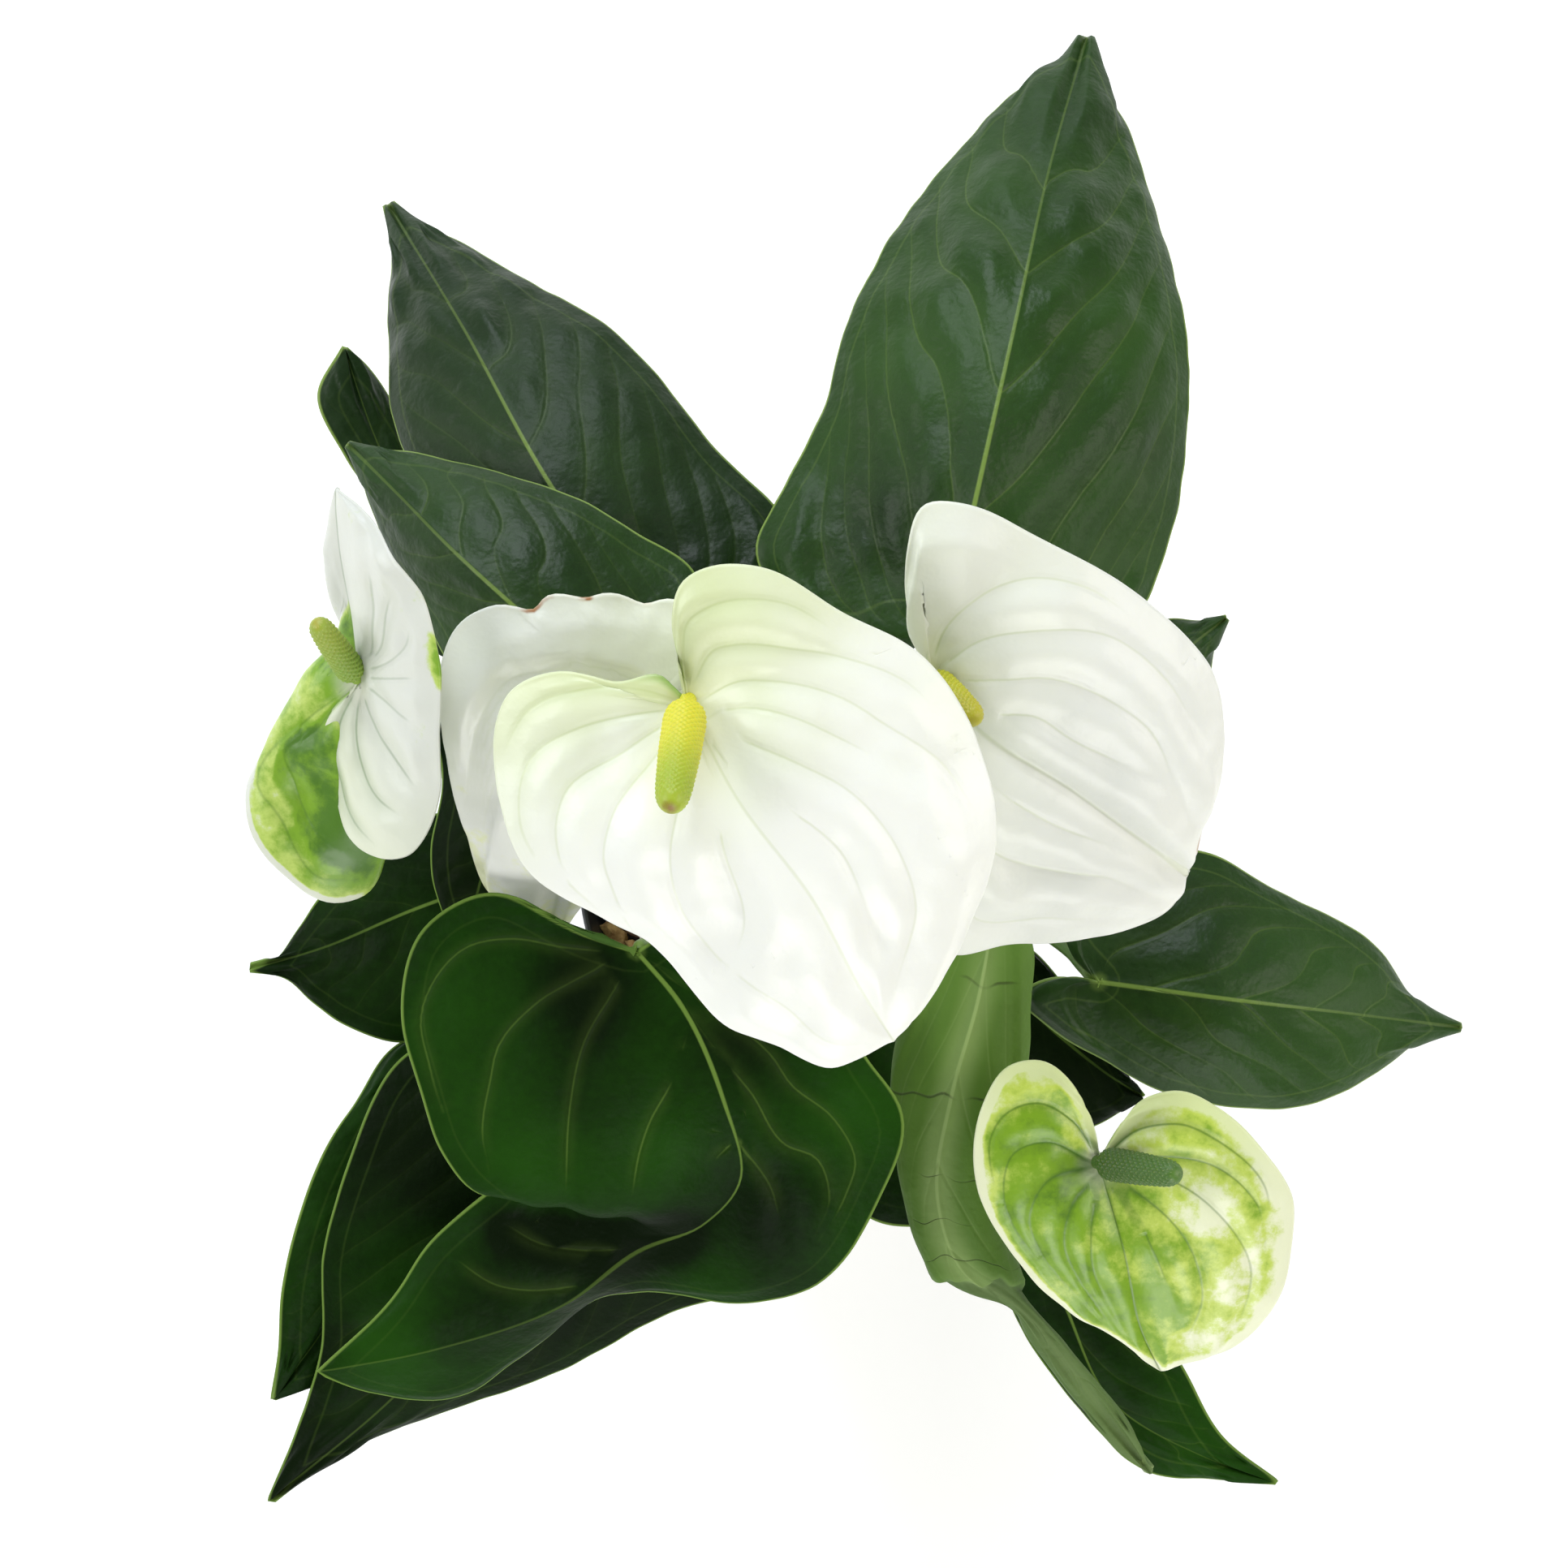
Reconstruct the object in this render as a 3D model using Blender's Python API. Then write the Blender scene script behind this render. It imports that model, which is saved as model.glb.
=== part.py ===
"""A potted flamingo flower: pot, soil, 15 leaves and 5 flowers, standing on the floor at z = 0."""

import math
import random

import bmesh
import bpy
import numpy as np
from mathutils.bvhtree import BVHTree

for old in list(bpy.data.objects):
    bpy.data.objects.remove(old, do_unlink=True)

MM = 0.001

# Pot and soil, in millimetres
RIM_R = 60.0
RIM_BAND = 12.0
POT_H = 105.0
POT_BASE_R = 42.0
POT_WALL = 1.4
POT_SIDES = 48
DRAIN_HOLES = 8
DRAIN_R = 4.0
FEET_LIFT = 2.0
SOIL_TOP = 94.0
FIT_GAP = 0.3
SEAT_STEP = 0.05
HOLE_FLOOR = 64.0

# Leaves and flowers, in millimetres
BLADE_T = 0.7
SPATHE_T = 0.8
RIB = 0.9
ROWS = 15
CROSS = 3
STALK_SIDES = 7
STALK_RINGS = 8
LEAN_LOW = np.array((0.14, 0.14, 0.40))
LEAN_HIGH = np.array((0.54, 0.54, 0.78))

SEED = 7


def path(points):
    """A smooth curve through the points. It is read by the share of its length, 0 to 1."""
    p = np.array(points, float)
    s = np.concatenate([[0.0], np.cumsum(np.linalg.norm(np.diff(p, axis=0), axis=1))])
    s /= s[-1]
    slope = np.diff(p, axis=0) / np.diff(s)[:, None]
    m = np.empty_like(p)
    m[0], m[-1] = slope[0], slope[-1]
    before, after = np.diff(s)[:-1, None], np.diff(s)[1:, None]
    m[1:-1] = (slope[:-1] * after + slope[1:] * before) / (before + after)

    def at(u):
        u = np.clip(np.asarray(u, float), 0.0, 1.0)
        i = np.clip(np.searchsorted(s, u, side="right") - 1, 0, len(s) - 2)
        h = (s[i + 1] - s[i])[..., None]
        k = ((u - s[i]) / (s[i + 1] - s[i]))[..., None]
        a = (2 * k**3 - 3 * k**2 + 1) * p[i] + (k**3 - 2 * k**2 + k) * h * m[i]
        return a + (3 * k**2 - 2 * k**3) * p[i + 1] + (k**3 - k**2) * h * m[i + 1]

    return at


def rows_of(fan):
    """Where the veins meet the edge (q) and leave the midrib (m). Those up to fan leave the joint."""
    q = np.linspace(0.0, 1.0, ROWS + 1)[1:]
    q = q ** 0.92
    m = np.where(q <= fan, 0.0, (np.maximum(q - fan, 0.0) / (1.0 - fan)) ** 0.85)
    return q, m


def blade_surface(joint, midrib, left, right, tip, fan, bulge, arch, tucks):
    """The middle surface: for each half, rows of points along a vein, from the midrib to the edge.

    Tucks push the veins near some places of the right edge aside, so that the blade folds there.
    """
    spine = path([joint] + midrib + [tip])
    q, m = rows_of(fan)
    roots = spine(m)
    t = np.linspace(0.0, 1.0, CROSS + 1)
    halves = []
    for side, edge_points in ((-1.0, left), (1.0, right)):
        edge = path([joint] + edge_points + [tip])
        ends = edge(q)
        along = edge(np.minimum(q + 0.03, 1.0)) - edge(q - 0.03)
        along /= np.linalg.norm(along, axis=1)[:, None]
        ray = ends - roots
        length = np.linalg.norm(ray, axis=1)[:, None]
        out = np.cross(ray, along) * side
        out /= np.maximum(np.linalg.norm(out, axis=1)[:, None], 1e-6)
        hump = 4.0 * t * (1.0 - t)
        grid = roots[:, None, :] + ray[:, None, :] * t[None, :, None]
        grid += out[:, None, :] * length[:, None, :] * bulge * hump[None, :, None]
        grid -= along[:, None, :] * length[:, None, :] * arch * hump[None, :, None]
        for place, width, push in tucks if side > 0 else ():
            share = np.exp(-(((q - place) / width) ** 2))[:, None] * np.sqrt(hump)
            grid += share[:, :, None] * np.array(push)
        halves.append(grid)
    return m, halves


def mesh_object(name, verts, faces, material, smooth=True):
    mesh = bpy.data.meshes.new(name)
    mesh.from_pydata([tuple(float(c) * MM for c in v) for v in verts], [], faces)
    bm = bmesh.new()
    bm.from_mesh(mesh)
    bmesh.ops.recalc_face_normals(bm, faces=bm.faces)
    bm.to_mesh(mesh)
    bm.free()
    obj = bpy.data.objects.new(name, mesh)
    bpy.context.collection.objects.link(obj)
    mesh.materials.append(material)
    if smooth:
        mesh.shade_smooth()
        mesh.set_sharp_from_angle(angle=math.radians(40))
    return obj


def paint(name, colour, roughness):
    material = bpy.data.materials.new(name)
    material.use_nodes = True
    shader = material.node_tree.nodes["Principled BSDF"]
    shader.inputs["Base Color"].default_value = (*colour, 1.0)
    shader.inputs["Roughness"].default_value = roughness
    material.diffuse_color = (*colour, 1.0)
    return material


def blade(name, material, thick, joint, midrib, left, right, tip,
          fan=0.42, bulge=0.06, arch=0.06, tucks=()):
    """One closed leaf or spathe with a rib under the midrib. Both faces have the same triangles."""
    m, halves = blade_surface(joint, midrib, left, right, tip, fan, bulge, arch, tucks)
    points, rib = [np.array(joint, float)], [0.4]
    index = {}
    for half, grid in enumerate(halves):
        for i in range(ROWS):
            for j in range(CROSS + 1):
                if j == 0 and m[i] == 0.0:
                    index[half, i, j] = 0
                elif j == 0 and half == 1:
                    index[half, i, j] = index[0, i, 0]
                elif i == ROWS - 1 and j > 0:
                    index[half, i, j] = index[half, i, 0]
                else:
                    index[half, i, j] = len(points)
                    points.append(grid[i, j])
                    rib.append(1.0 - 0.8 * m[i] if j == 0 else 0.0)
    tris = []
    for half in (0, 1):
        for i in range(ROWS - 1):
            for j in range(CROSS):
                a, b = index[half, i, j], index[half, i, j + 1]
                c, d = index[half, i + 1, j + 1], index[half, i + 1, j]
                for tri in ((a, b, c), (a, c, d)):
                    if len(set(tri)) == 3:
                        tris.append(tri if half == 1 else tri[::-1])
    p = np.array(points)
    f = np.array(tris)
    face_n = np.cross(p[f[:, 1]] - p[f[:, 0]], p[f[:, 2]] - p[f[:, 0]])
    n = np.zeros_like(p)
    for k in range(3):
        np.add.at(n, f[:, k], face_n)
    n /= np.linalg.norm(n, axis=1)[:, None]
    top = p + n * thick / 2
    under = p - n * (thick / 2 + RIB * np.array(rib)[:, None])
    count = len(p)
    verts = list(top) + list(under)
    faces = [tuple(t) for t in tris] + [tuple(v + count for v in t[::-1]) for t in tris]
    used = {}
    for t in tris:
        for a, b in zip(t, t[1:] + t[:1]):
            used[a, b] = True
    for a, b in list(used):
        if (b, a) not in used:
            faces += [(b, a, a + count), (b, a + count, b + count)]
    return mesh_object(name, verts, faces, material)


def tube(centre, radii, sides, relief=0.0):
    """A closed round body along the points, with a radius for each. Relief raises every other corner."""
    c = np.array(centre, float)
    d = np.gradient(c, axis=0)
    d /= np.linalg.norm(d, axis=1)[:, None]
    u = np.cross(d[0], (0.31, 0.95, 0.02))
    verts, faces = [], []
    for i in range(len(c)):
        u = u - d[i] * np.dot(u, d[i])
        u /= np.linalg.norm(u)
        v = np.cross(d[i], u)
        for k in range(sides):
            angle = 2 * math.pi * (k + 0.5 * (i % 2) * (relief > 0)) / sides
            r = radii[i] + relief * (1.0 if (k + i // 2) % 2 else -1.0) * (0 < i < len(c) - 1)
            verts.append(c[i] + r * (math.cos(angle) * u + math.sin(angle) * v))
    for i in range(len(c) - 1):
        for k in range(sides):
            a, b = i * sides + k, i * sides + (k + 1) % sides
            e, g = a + sides, b + sides
            faces += [(a, b, g), (a, g, e)] if i % 2 else [(a, b, e), (b, g, e)]
    faces.append(tuple(range(sides))[::-1])
    faces.append(tuple(range((len(c) - 1) * sides, len(c) * sides)))
    return verts, faces


def gap_between(shape, tree):
    """The clear distance from a body to the piece it stands against, or 0 where they cross."""
    if BVHTree.FromPolygons(*shape).overlap(tree):
        return 0.0
    return min(tree.find_nearest(v)[3] for v in shape[0])


def seat(name, material, shape_at, against):
    """Slides a body back along its own end until it stands FIT_GAP clear of the piece it touches."""
    tree = BVHTree.FromPolygons([v.co / MM for v in against.data.vertices],
                                [tuple(p.vertices) for p in against.data.polygons])
    back = 0.0
    while gap_between(shape_at(back), tree) < FIT_GAP and back < 12.0:
        back += SEAT_STEP
    return mesh_object(name, *shape_at(back), material)


def stalk(name, material, foot, head, via, r_foot, r_head, against):
    """A stem from the bottom of its hole in the soil, straight up, then in one slow bend to its head."""
    start = np.array((*foot, SOIL_TOP + 3.0))
    end = np.array(head, float)
    lean = (start + (end - start) * LEAN_LOW, start + (end - start) * LEAN_HIGH)
    near, far = via if via else lean
    u = (np.linspace(0.0, 1.0, STALK_RINGS) ** 0.9)[:, None]
    run = start * (1 - u) ** 3 + 3 * np.array(near) * u * (1 - u) ** 2
    run += 3 * np.array(far) * u**2 * (1 - u) + end * u**3
    way = (run[-1] - run[-2]) / np.linalg.norm(run[-1] - run[-2])
    upright = [(*foot, HOLE_FLOOR + FIT_GAP), (*foot, SOIL_TOP - 8.0)]
    radii = r_foot + (r_head - r_foot) * np.linspace(0.0, 1.0, STALK_RINGS + 4)
    radii[-3:] *= (1.25, 1.15, 0.55)

    def shape_at(back):
        neck = [run[-1] - way * (back + d) for d in (7.0, 1.2, 0.0)]
        return tube(np.concatenate([upright, run[:-1], neck]), radii, STALK_SIDES)

    return seat(name, material, shape_at, against)


def spadix(name, material, base, tip, radius, against):
    """The flower spike: a short neck and a blunt cylinder, with its florets as raised diamonds."""
    b, t = np.array(base, float), np.array(tip, float)
    way = (t - b) / np.linalg.norm(t - b)
    share = [0.0, 0.08, 0.16, 0.26, 0.37, 0.48, 0.59, 0.70, 0.81, 0.90, 0.97, 1.0]
    profile = [0.28, 0.46, 0.88, 1.0, 1.0, 0.99, 0.98, 0.96, 0.93, 0.84, 0.60, 0.25]

    def shape_at(back):
        c = [b + (t - b) * s + way * back for s in share]
        return tube(c, [radius * p for p in profile], 12, relief=radius * 0.05)

    return seat(name, material, shape_at, against)


def lathe(name, material, profile, sides):
    """A closed body turned about the z axis. The profile starts and ends on the axis."""
    verts, faces = [], []
    rings = []
    for r, z in profile:
        if r == 0.0:
            rings.append([len(verts)])
            verts.append((0.0, 0.0, z))
        else:
            rings.append(list(range(len(verts), len(verts) + sides)))
            for k in range(sides):
                a = 2 * math.pi * k / sides
                verts.append((r * math.cos(a), r * math.sin(a), z))
    for low, high in zip(rings, rings[1:]):
        for k in range(sides):
            a, b = low[k % len(low)], low[(k + 1) % len(low)]
            c, d = high[(k + 1) % len(high)], high[k % len(high)]
            faces.append(tuple(dict.fromkeys((a, b, c, d))))
    return mesh_object(name, verts, faces, material)


def cutter(name, verts, faces):
    obj = mesh_object(name, verts, faces, steel, smooth=False)
    obj.hide_render = True
    obj.display_type = "WIRE"
    return obj


def rods(name, places, z_low, z_high, sides):
    """Upright rods that cut holes: each place gives x, y and the radius."""
    verts, faces = [], []
    for x, y, r in places:
        first = len(verts)
        for z in (z_low, z_high):
            for k in range(sides):
                a = 2 * math.pi * k / sides
                verts.append((x + r * math.cos(a), y + r * math.sin(a), z))
        for k in range(sides):
            n = (k + 1) % sides
            faces.append((first + k, first + n, first + sides + n, first + sides + k))
        faces.append(tuple(range(first, first + sides))[::-1])
        faces.append(tuple(range(first + sides, first + 2 * sides)))
    return cutter(name, verts, faces)


def cut(obj, tool):
    modifier = obj.modifiers.new("holes", "BOOLEAN")
    modifier.operation = "DIFFERENCE"
    modifier.solver = "EXACT"
    modifier.object = tool


black_plastic = paint("black_plastic", (0.018, 0.019, 0.021), 0.45)
soil_bark = paint("soil_bark", (0.045, 0.028, 0.018), 0.95)
leaf_green = paint("leaf_green", (0.022, 0.075, 0.018), 0.35)
young_leaf = paint("young_leaf", (0.16, 0.32, 0.07), 0.5)
leaf_stalk = paint("leaf_stalk", (0.09, 0.20, 0.04), 0.45)
flower_stalk = paint("flower_stalk", (0.14, 0.27, 0.06), 0.45)
white_spathe = paint("white_spathe", (0.86, 0.88, 0.80), 0.4)
green_spathe = paint("green_spathe", (0.62, 0.74, 0.36), 0.4)
yellow_spadix = paint("yellow_spadix", (0.62, 0.66, 0.06), 0.55)
green_spadix = paint("green_spadix", (0.16, 0.34, 0.05), 0.55)
steel = paint("cutting_steel", (0.5, 0.5, 0.5), 0.4)

# Pot: a tapered cup with a turned-out rim band, a raised floor and holes around the floor's edge
lathe(
    "pot",
    black_plastic,
    [
        (0.0, 0.0),
        (POT_BASE_R - 9.0, 0.0),
        (POT_BASE_R - 7.0, FEET_LIFT),
        (POT_BASE_R - 3.0, FEET_LIFT),
        (POT_BASE_R - 2.0, 0.0),
        (POT_BASE_R, 0.0),
        (RIM_R - 3.4, POT_H - RIM_BAND),
        (RIM_R - 1.0, POT_H - RIM_BAND),
        (RIM_R, POT_H - 1.0),
        (RIM_R - 0.6, POT_H),
        (RIM_R - 1.6, POT_H - 0.4),
        (RIM_R - 3.4, POT_H - RIM_BAND + 2.0),
        (RIM_R - 3.4 - POT_WALL, POT_H - RIM_BAND - 2.0),
        (POT_BASE_R - POT_WALL, FEET_LIFT + POT_WALL),
        (0.0, FEET_LIFT + POT_WALL),
    ],
    POT_SIDES,
)
drain = []
for k in range(DRAIN_HOLES):
    a = 2 * math.pi * (k + 0.5) / DRAIN_HOLES
    drain.append(((POT_BASE_R - 16.0) * math.cos(a), (POT_BASE_R - 16.0) * math.sin(a), DRAIN_R))
cut(bpy.data.objects["pot"], rods("drain_rods", drain, -5.0, 10.0, 16))

# Leaves. Points are in millimetres: x to the right, y away from the front, z up.
# Each edge runs from the joint round the lobe to the tip.
# foot is where the stalk stands in the soil, and via holds the two points that guide its bend.
# fan is the share of an edge whose veins start at the joint, and bulge how far the blade swells.
LEAVES = {
    "leaf_01": dict(
        joint=(32, 43, 268),
        midrib=[(39, 74, 276), (49, 118, 268), (59, 162, 242)],
        left=[(23, 49, 266), (13, 47, 262), (-6, 54, 258), (-12, 65, 256), (-6, 81, 254), (3, 99, 251),
              (15, 134, 244), (31, 162, 231), (55, 187, 219), (65, 194, 214)],
        right=[(45, 32, 264), (64, 37, 256), (81, 55, 250), (91, 90, 248), (91, 126, 242),
               (85, 156, 230), (76, 184, 218)],
        tip=(70, 201, 212),
        foot=(12, 18),
    ),
    "leaf_02": dict(
        joint=(-39, 53, 238),
        midrib=[(-59, 81, 240), (-84, 127, 216)],
        left=[(-49, 41, 236), (-69, 50, 229), (-87, 71, 220), (-99, 98, 211), (-105, 130, 197),
              (-104, 156, 184)],
        right=[(-29, 44, 236), (-11, 55, 232), (-4, 73, 230), (-22, 96, 226), (-41, 120, 219),
               (-71, 143, 204), (-88, 154, 191), (-100, 161, 182)],
        tip=(-106, 166, 178),
        foot=(-12, 22),
    ),
    "leaf_03": dict(
        joint=(-44, 31, 256),
        midrib=[(-67, 51, 262), (-83, 66, 257), (-97, 81, 246)],
        left=[(-52, 22, 253), (-70, 27, 248), (-84, 39, 243), (-90, 51, 240), (-100, 67, 236),
              (-107, 87, 233)],
        right=[(-34, 34, 254), (-24, 47, 252), (-27, 63, 250), (-41, 72, 250), (-57, 81, 249),
               (-72, 87, 246), (-88, 91, 240), (-102, 94, 235)],
        tip=(-111, 96, 232),
        foot=(-20, 10),
    ),
    "leaf_04": dict(
        joint=(-82, 50, 188),
        midrib=[(-94, 76, 186), (-108, 104, 187)],
        left=[(-92, 50, 184), (-102, 66, 184), (-109, 89, 187), (-115, 99, 189), (-122, 115, 192)],
        right=[(-74, 52, 184), (-76, 66, 181), (-86, 84, 180), (-97, 101, 181), (-103, 113, 184),
               (-110, 123, 188)],
        tip=(-116, 127, 191),
        foot=(-30, 18),
    ),
    "leaf_05": dict(
        joint=(56, 14, 240),
        midrib=[(74, 28, 242), (90, 44, 236)],
        left=[(54, 24, 239), (60, 38, 238), (72, 47, 236), (88, 53, 232)],
        right=[(62, 6, 238), (76, 6, 234), (90, 20, 230), (98, 40, 228)],
        tip=(102, 54, 228),
        foot=(26, 12),
    ),
    "leaf_06": dict(
        joint=(71, -34, 222),
        midrib=[(99, -38, 226), (130, -41, 213)],
        left=[(64, -26, 222), (61, -13, 221), (75, -3, 219), (96, -2, 216), (114, -10, 211),
              (141, -25, 202), (154, -39, 195)],
        right=[(60, -33, 221), (52, -37, 218), (60, -46, 215), (75, -54, 211), (90, -61, 209),
               (115, -65, 205), (140, -56, 198), (153, -48, 194)],
        tip=(163, -44, 192),
        foot=(30, -8), via=((34, -8, 150), (56, -12, 200)),
    ),
    "leaf_07": dict(
        joint=(-72, -8, 218),
        midrib=[(-95, -16, 216), (-118, -25, 208)],
        left=[(-70, -22, 214), (-80, -42, 208), (-99, -48, 204), (-112, -44, 203), (-122, -38, 203),
              (-129, -32, 202)],
        right=[(-76, 4, 218), (-92, 7, 216), (-108, -2, 213), (-119, -13, 208), (-126, -21, 204),
               (-131, -28, 202)],
        tip=(-137, -30, 200),
        foot=(-30, -2),
    ),
    "leaf_08": dict(
        joint=(-39, -30, 285),
        midrib=[(-29, -42, 285), (-19, -64, 281), (-15, -81, 270), (-24, -92, 257), (-40, -99, 246),
                (-57, -111, 236), (-88, -122, 225)],
        left=[(-29, -25, 288), (-12, -27, 287), (3, -37, 283), (14, -55, 278), (22, -66, 275),
              (17, -86, 267), (1, -108, 254), (-14, -111, 246), (-37, -108, 236), (-51, -111, 226),
              (-68, -125, 216), (-86, -135, 210), (-102, -134, 210)],
        right=[(-50, -27, 287), (-73, -17, 289), (-88, -25, 285), (-93, -44, 280), (-89, -61, 276),
               (-84, -77, 272), (-76, -86, 268), (-66, -84, 260), (-66, -75, 252), (-73, -83, 244),
               (-82, -90, 238), (-90, -97, 233), (-99, -110, 226)],
        tip=(-118, -128, 215),
        foot=(-16, -10), fan=0.34, bulge=0.03,
        tucks=[(0.57, 0.04, (0, 1, 3)), (0.65, 0.04, (0, 6, -5))],
    ),
    "leaf_09": dict(
        joint=(-46, -56, 220),
        midrib=[(-68, -90, 214), (-95, -128, 192)],
        left=[(-34, -52, 217), (-16, -62, 212), (-6, -82, 206), (-8, -106, 200), (-29, -113, 195),
              (-59, -128, 185), (-88, -138, 178), (-108, -147, 173), (-128, -157, 168)],
        right=[(-58, -46, 222), (-78, -44, 222), (-96, -51, 221), (-111, -78, 214), (-118, -100, 204),
               (-119, -122, 191), (-127, -144, 177)],
        tip=(-135, -162, 165),
        foot=(-22, -24),
    ),
    "leaf_10": dict(
        joint=(-84, -52, 200),
        midrib=[(-100, -84, 196), (-118, -116, 184)],
        left=[(-76, -54, 196), (-74, -68, 190), (-80, -86, 184), (-92, -106, 178), (-108, -123, 175),
              (-124, -134, 176)],
        right=[(-90, -46, 197), (-100, -48, 197), (-113, -66, 199), (-123, -86, 197),
               (-129, -108, 190), (-131, -127, 182)],
        tip=(-133, -136, 177),
        foot=(-34, -20),
    ),
    "leaf_11": dict(
        joint=(44, -18, 262),
        midrib=[(40, -40, 263), (34, -62, 260), (31, -86, 250), (37, -103, 241), (50, -112, 231),
                (68, -133, 211)],
        left=[(50, -24, 257), (52, -49, 250), (50, -72, 243), (50, -98, 235), (54, -109, 227),
              (60, -116, 222), (70, -126, 213), (81, -141, 201)],
        right=[(34, -19, 258), (26, -27, 254), (21, -52, 250), (22, -81, 243), (26, -97, 238),
               (31, -107, 235), (39, -110, 232), (46, -111, 228), (52, -121, 219), (60, -133, 208),
               (70, -143, 200), (78, -150, 195)],
        tip=(86, -155, 190),
        foot=(16, -6), fan=0.12, bulge=0.22,
    ),
    "leaf_12": dict(
        joint=(54, -88, 198),
        midrib=[(64, -112, 192), (76, -136, 181), (99, -150, 172)],
        left=[(64, -82, 197), (76, -96, 193), (87, -114, 187), (94, -128, 182), (104, -145, 173)],
        right=[(44, -90, 194), (49, -108, 188), (59, -126, 182), (74, -145, 175), (88, -155, 171),
               (101, -157, 168)],
        tip=(119, -157, 165),
        foot=(12, -30),
    ),
    "leaf_13": dict(
        joint=(46, -30, 202),
        midrib=[(60, -44, 200), (74, -55, 193)],
        left=[(54, -24, 199), (63, -33, 197), (73, -45, 192), (80, -54, 189)],
        right=[(38, -36, 199), (43, -50, 195), (53, -61, 192), (64, -69, 189), (74, -68, 187)],
        tip=(84, -61, 186),
        foot=(24, -22),
    ),
    "leaf_14": dict(
        joint=(8, -46, 212),
        midrib=[(20, -62, 211), (32, -78, 206)],
        left=[(14, -42, 210), (26, -48, 208), (36, -62, 206), (40, -78, 204)],
        right=[(2, -52, 210), (1, -68, 208), (6, -82, 206), (16, -91, 205), (28, -93, 203),
               (36, -92, 202)],
        tip=(41, -88, 202),
        foot=(2, -20),
    ),
    "leaf_15": dict(
        joint=(-62, 22, 238),
        midrib=[(-72, 4, 238), (-79, -14, 232)],
        left=[(-53, 29, 237), (-50, 14, 236), (-54, -4, 234), (-64, -18, 230)],
        right=[(-70, 35, 236), (-88, 36, 230), (-88, 14, 232), (-90, -4, 230), (-88, -18, 227)],
        tip=(-81, -30, 224),
        foot=(-28, 8),
    ),
}

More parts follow.
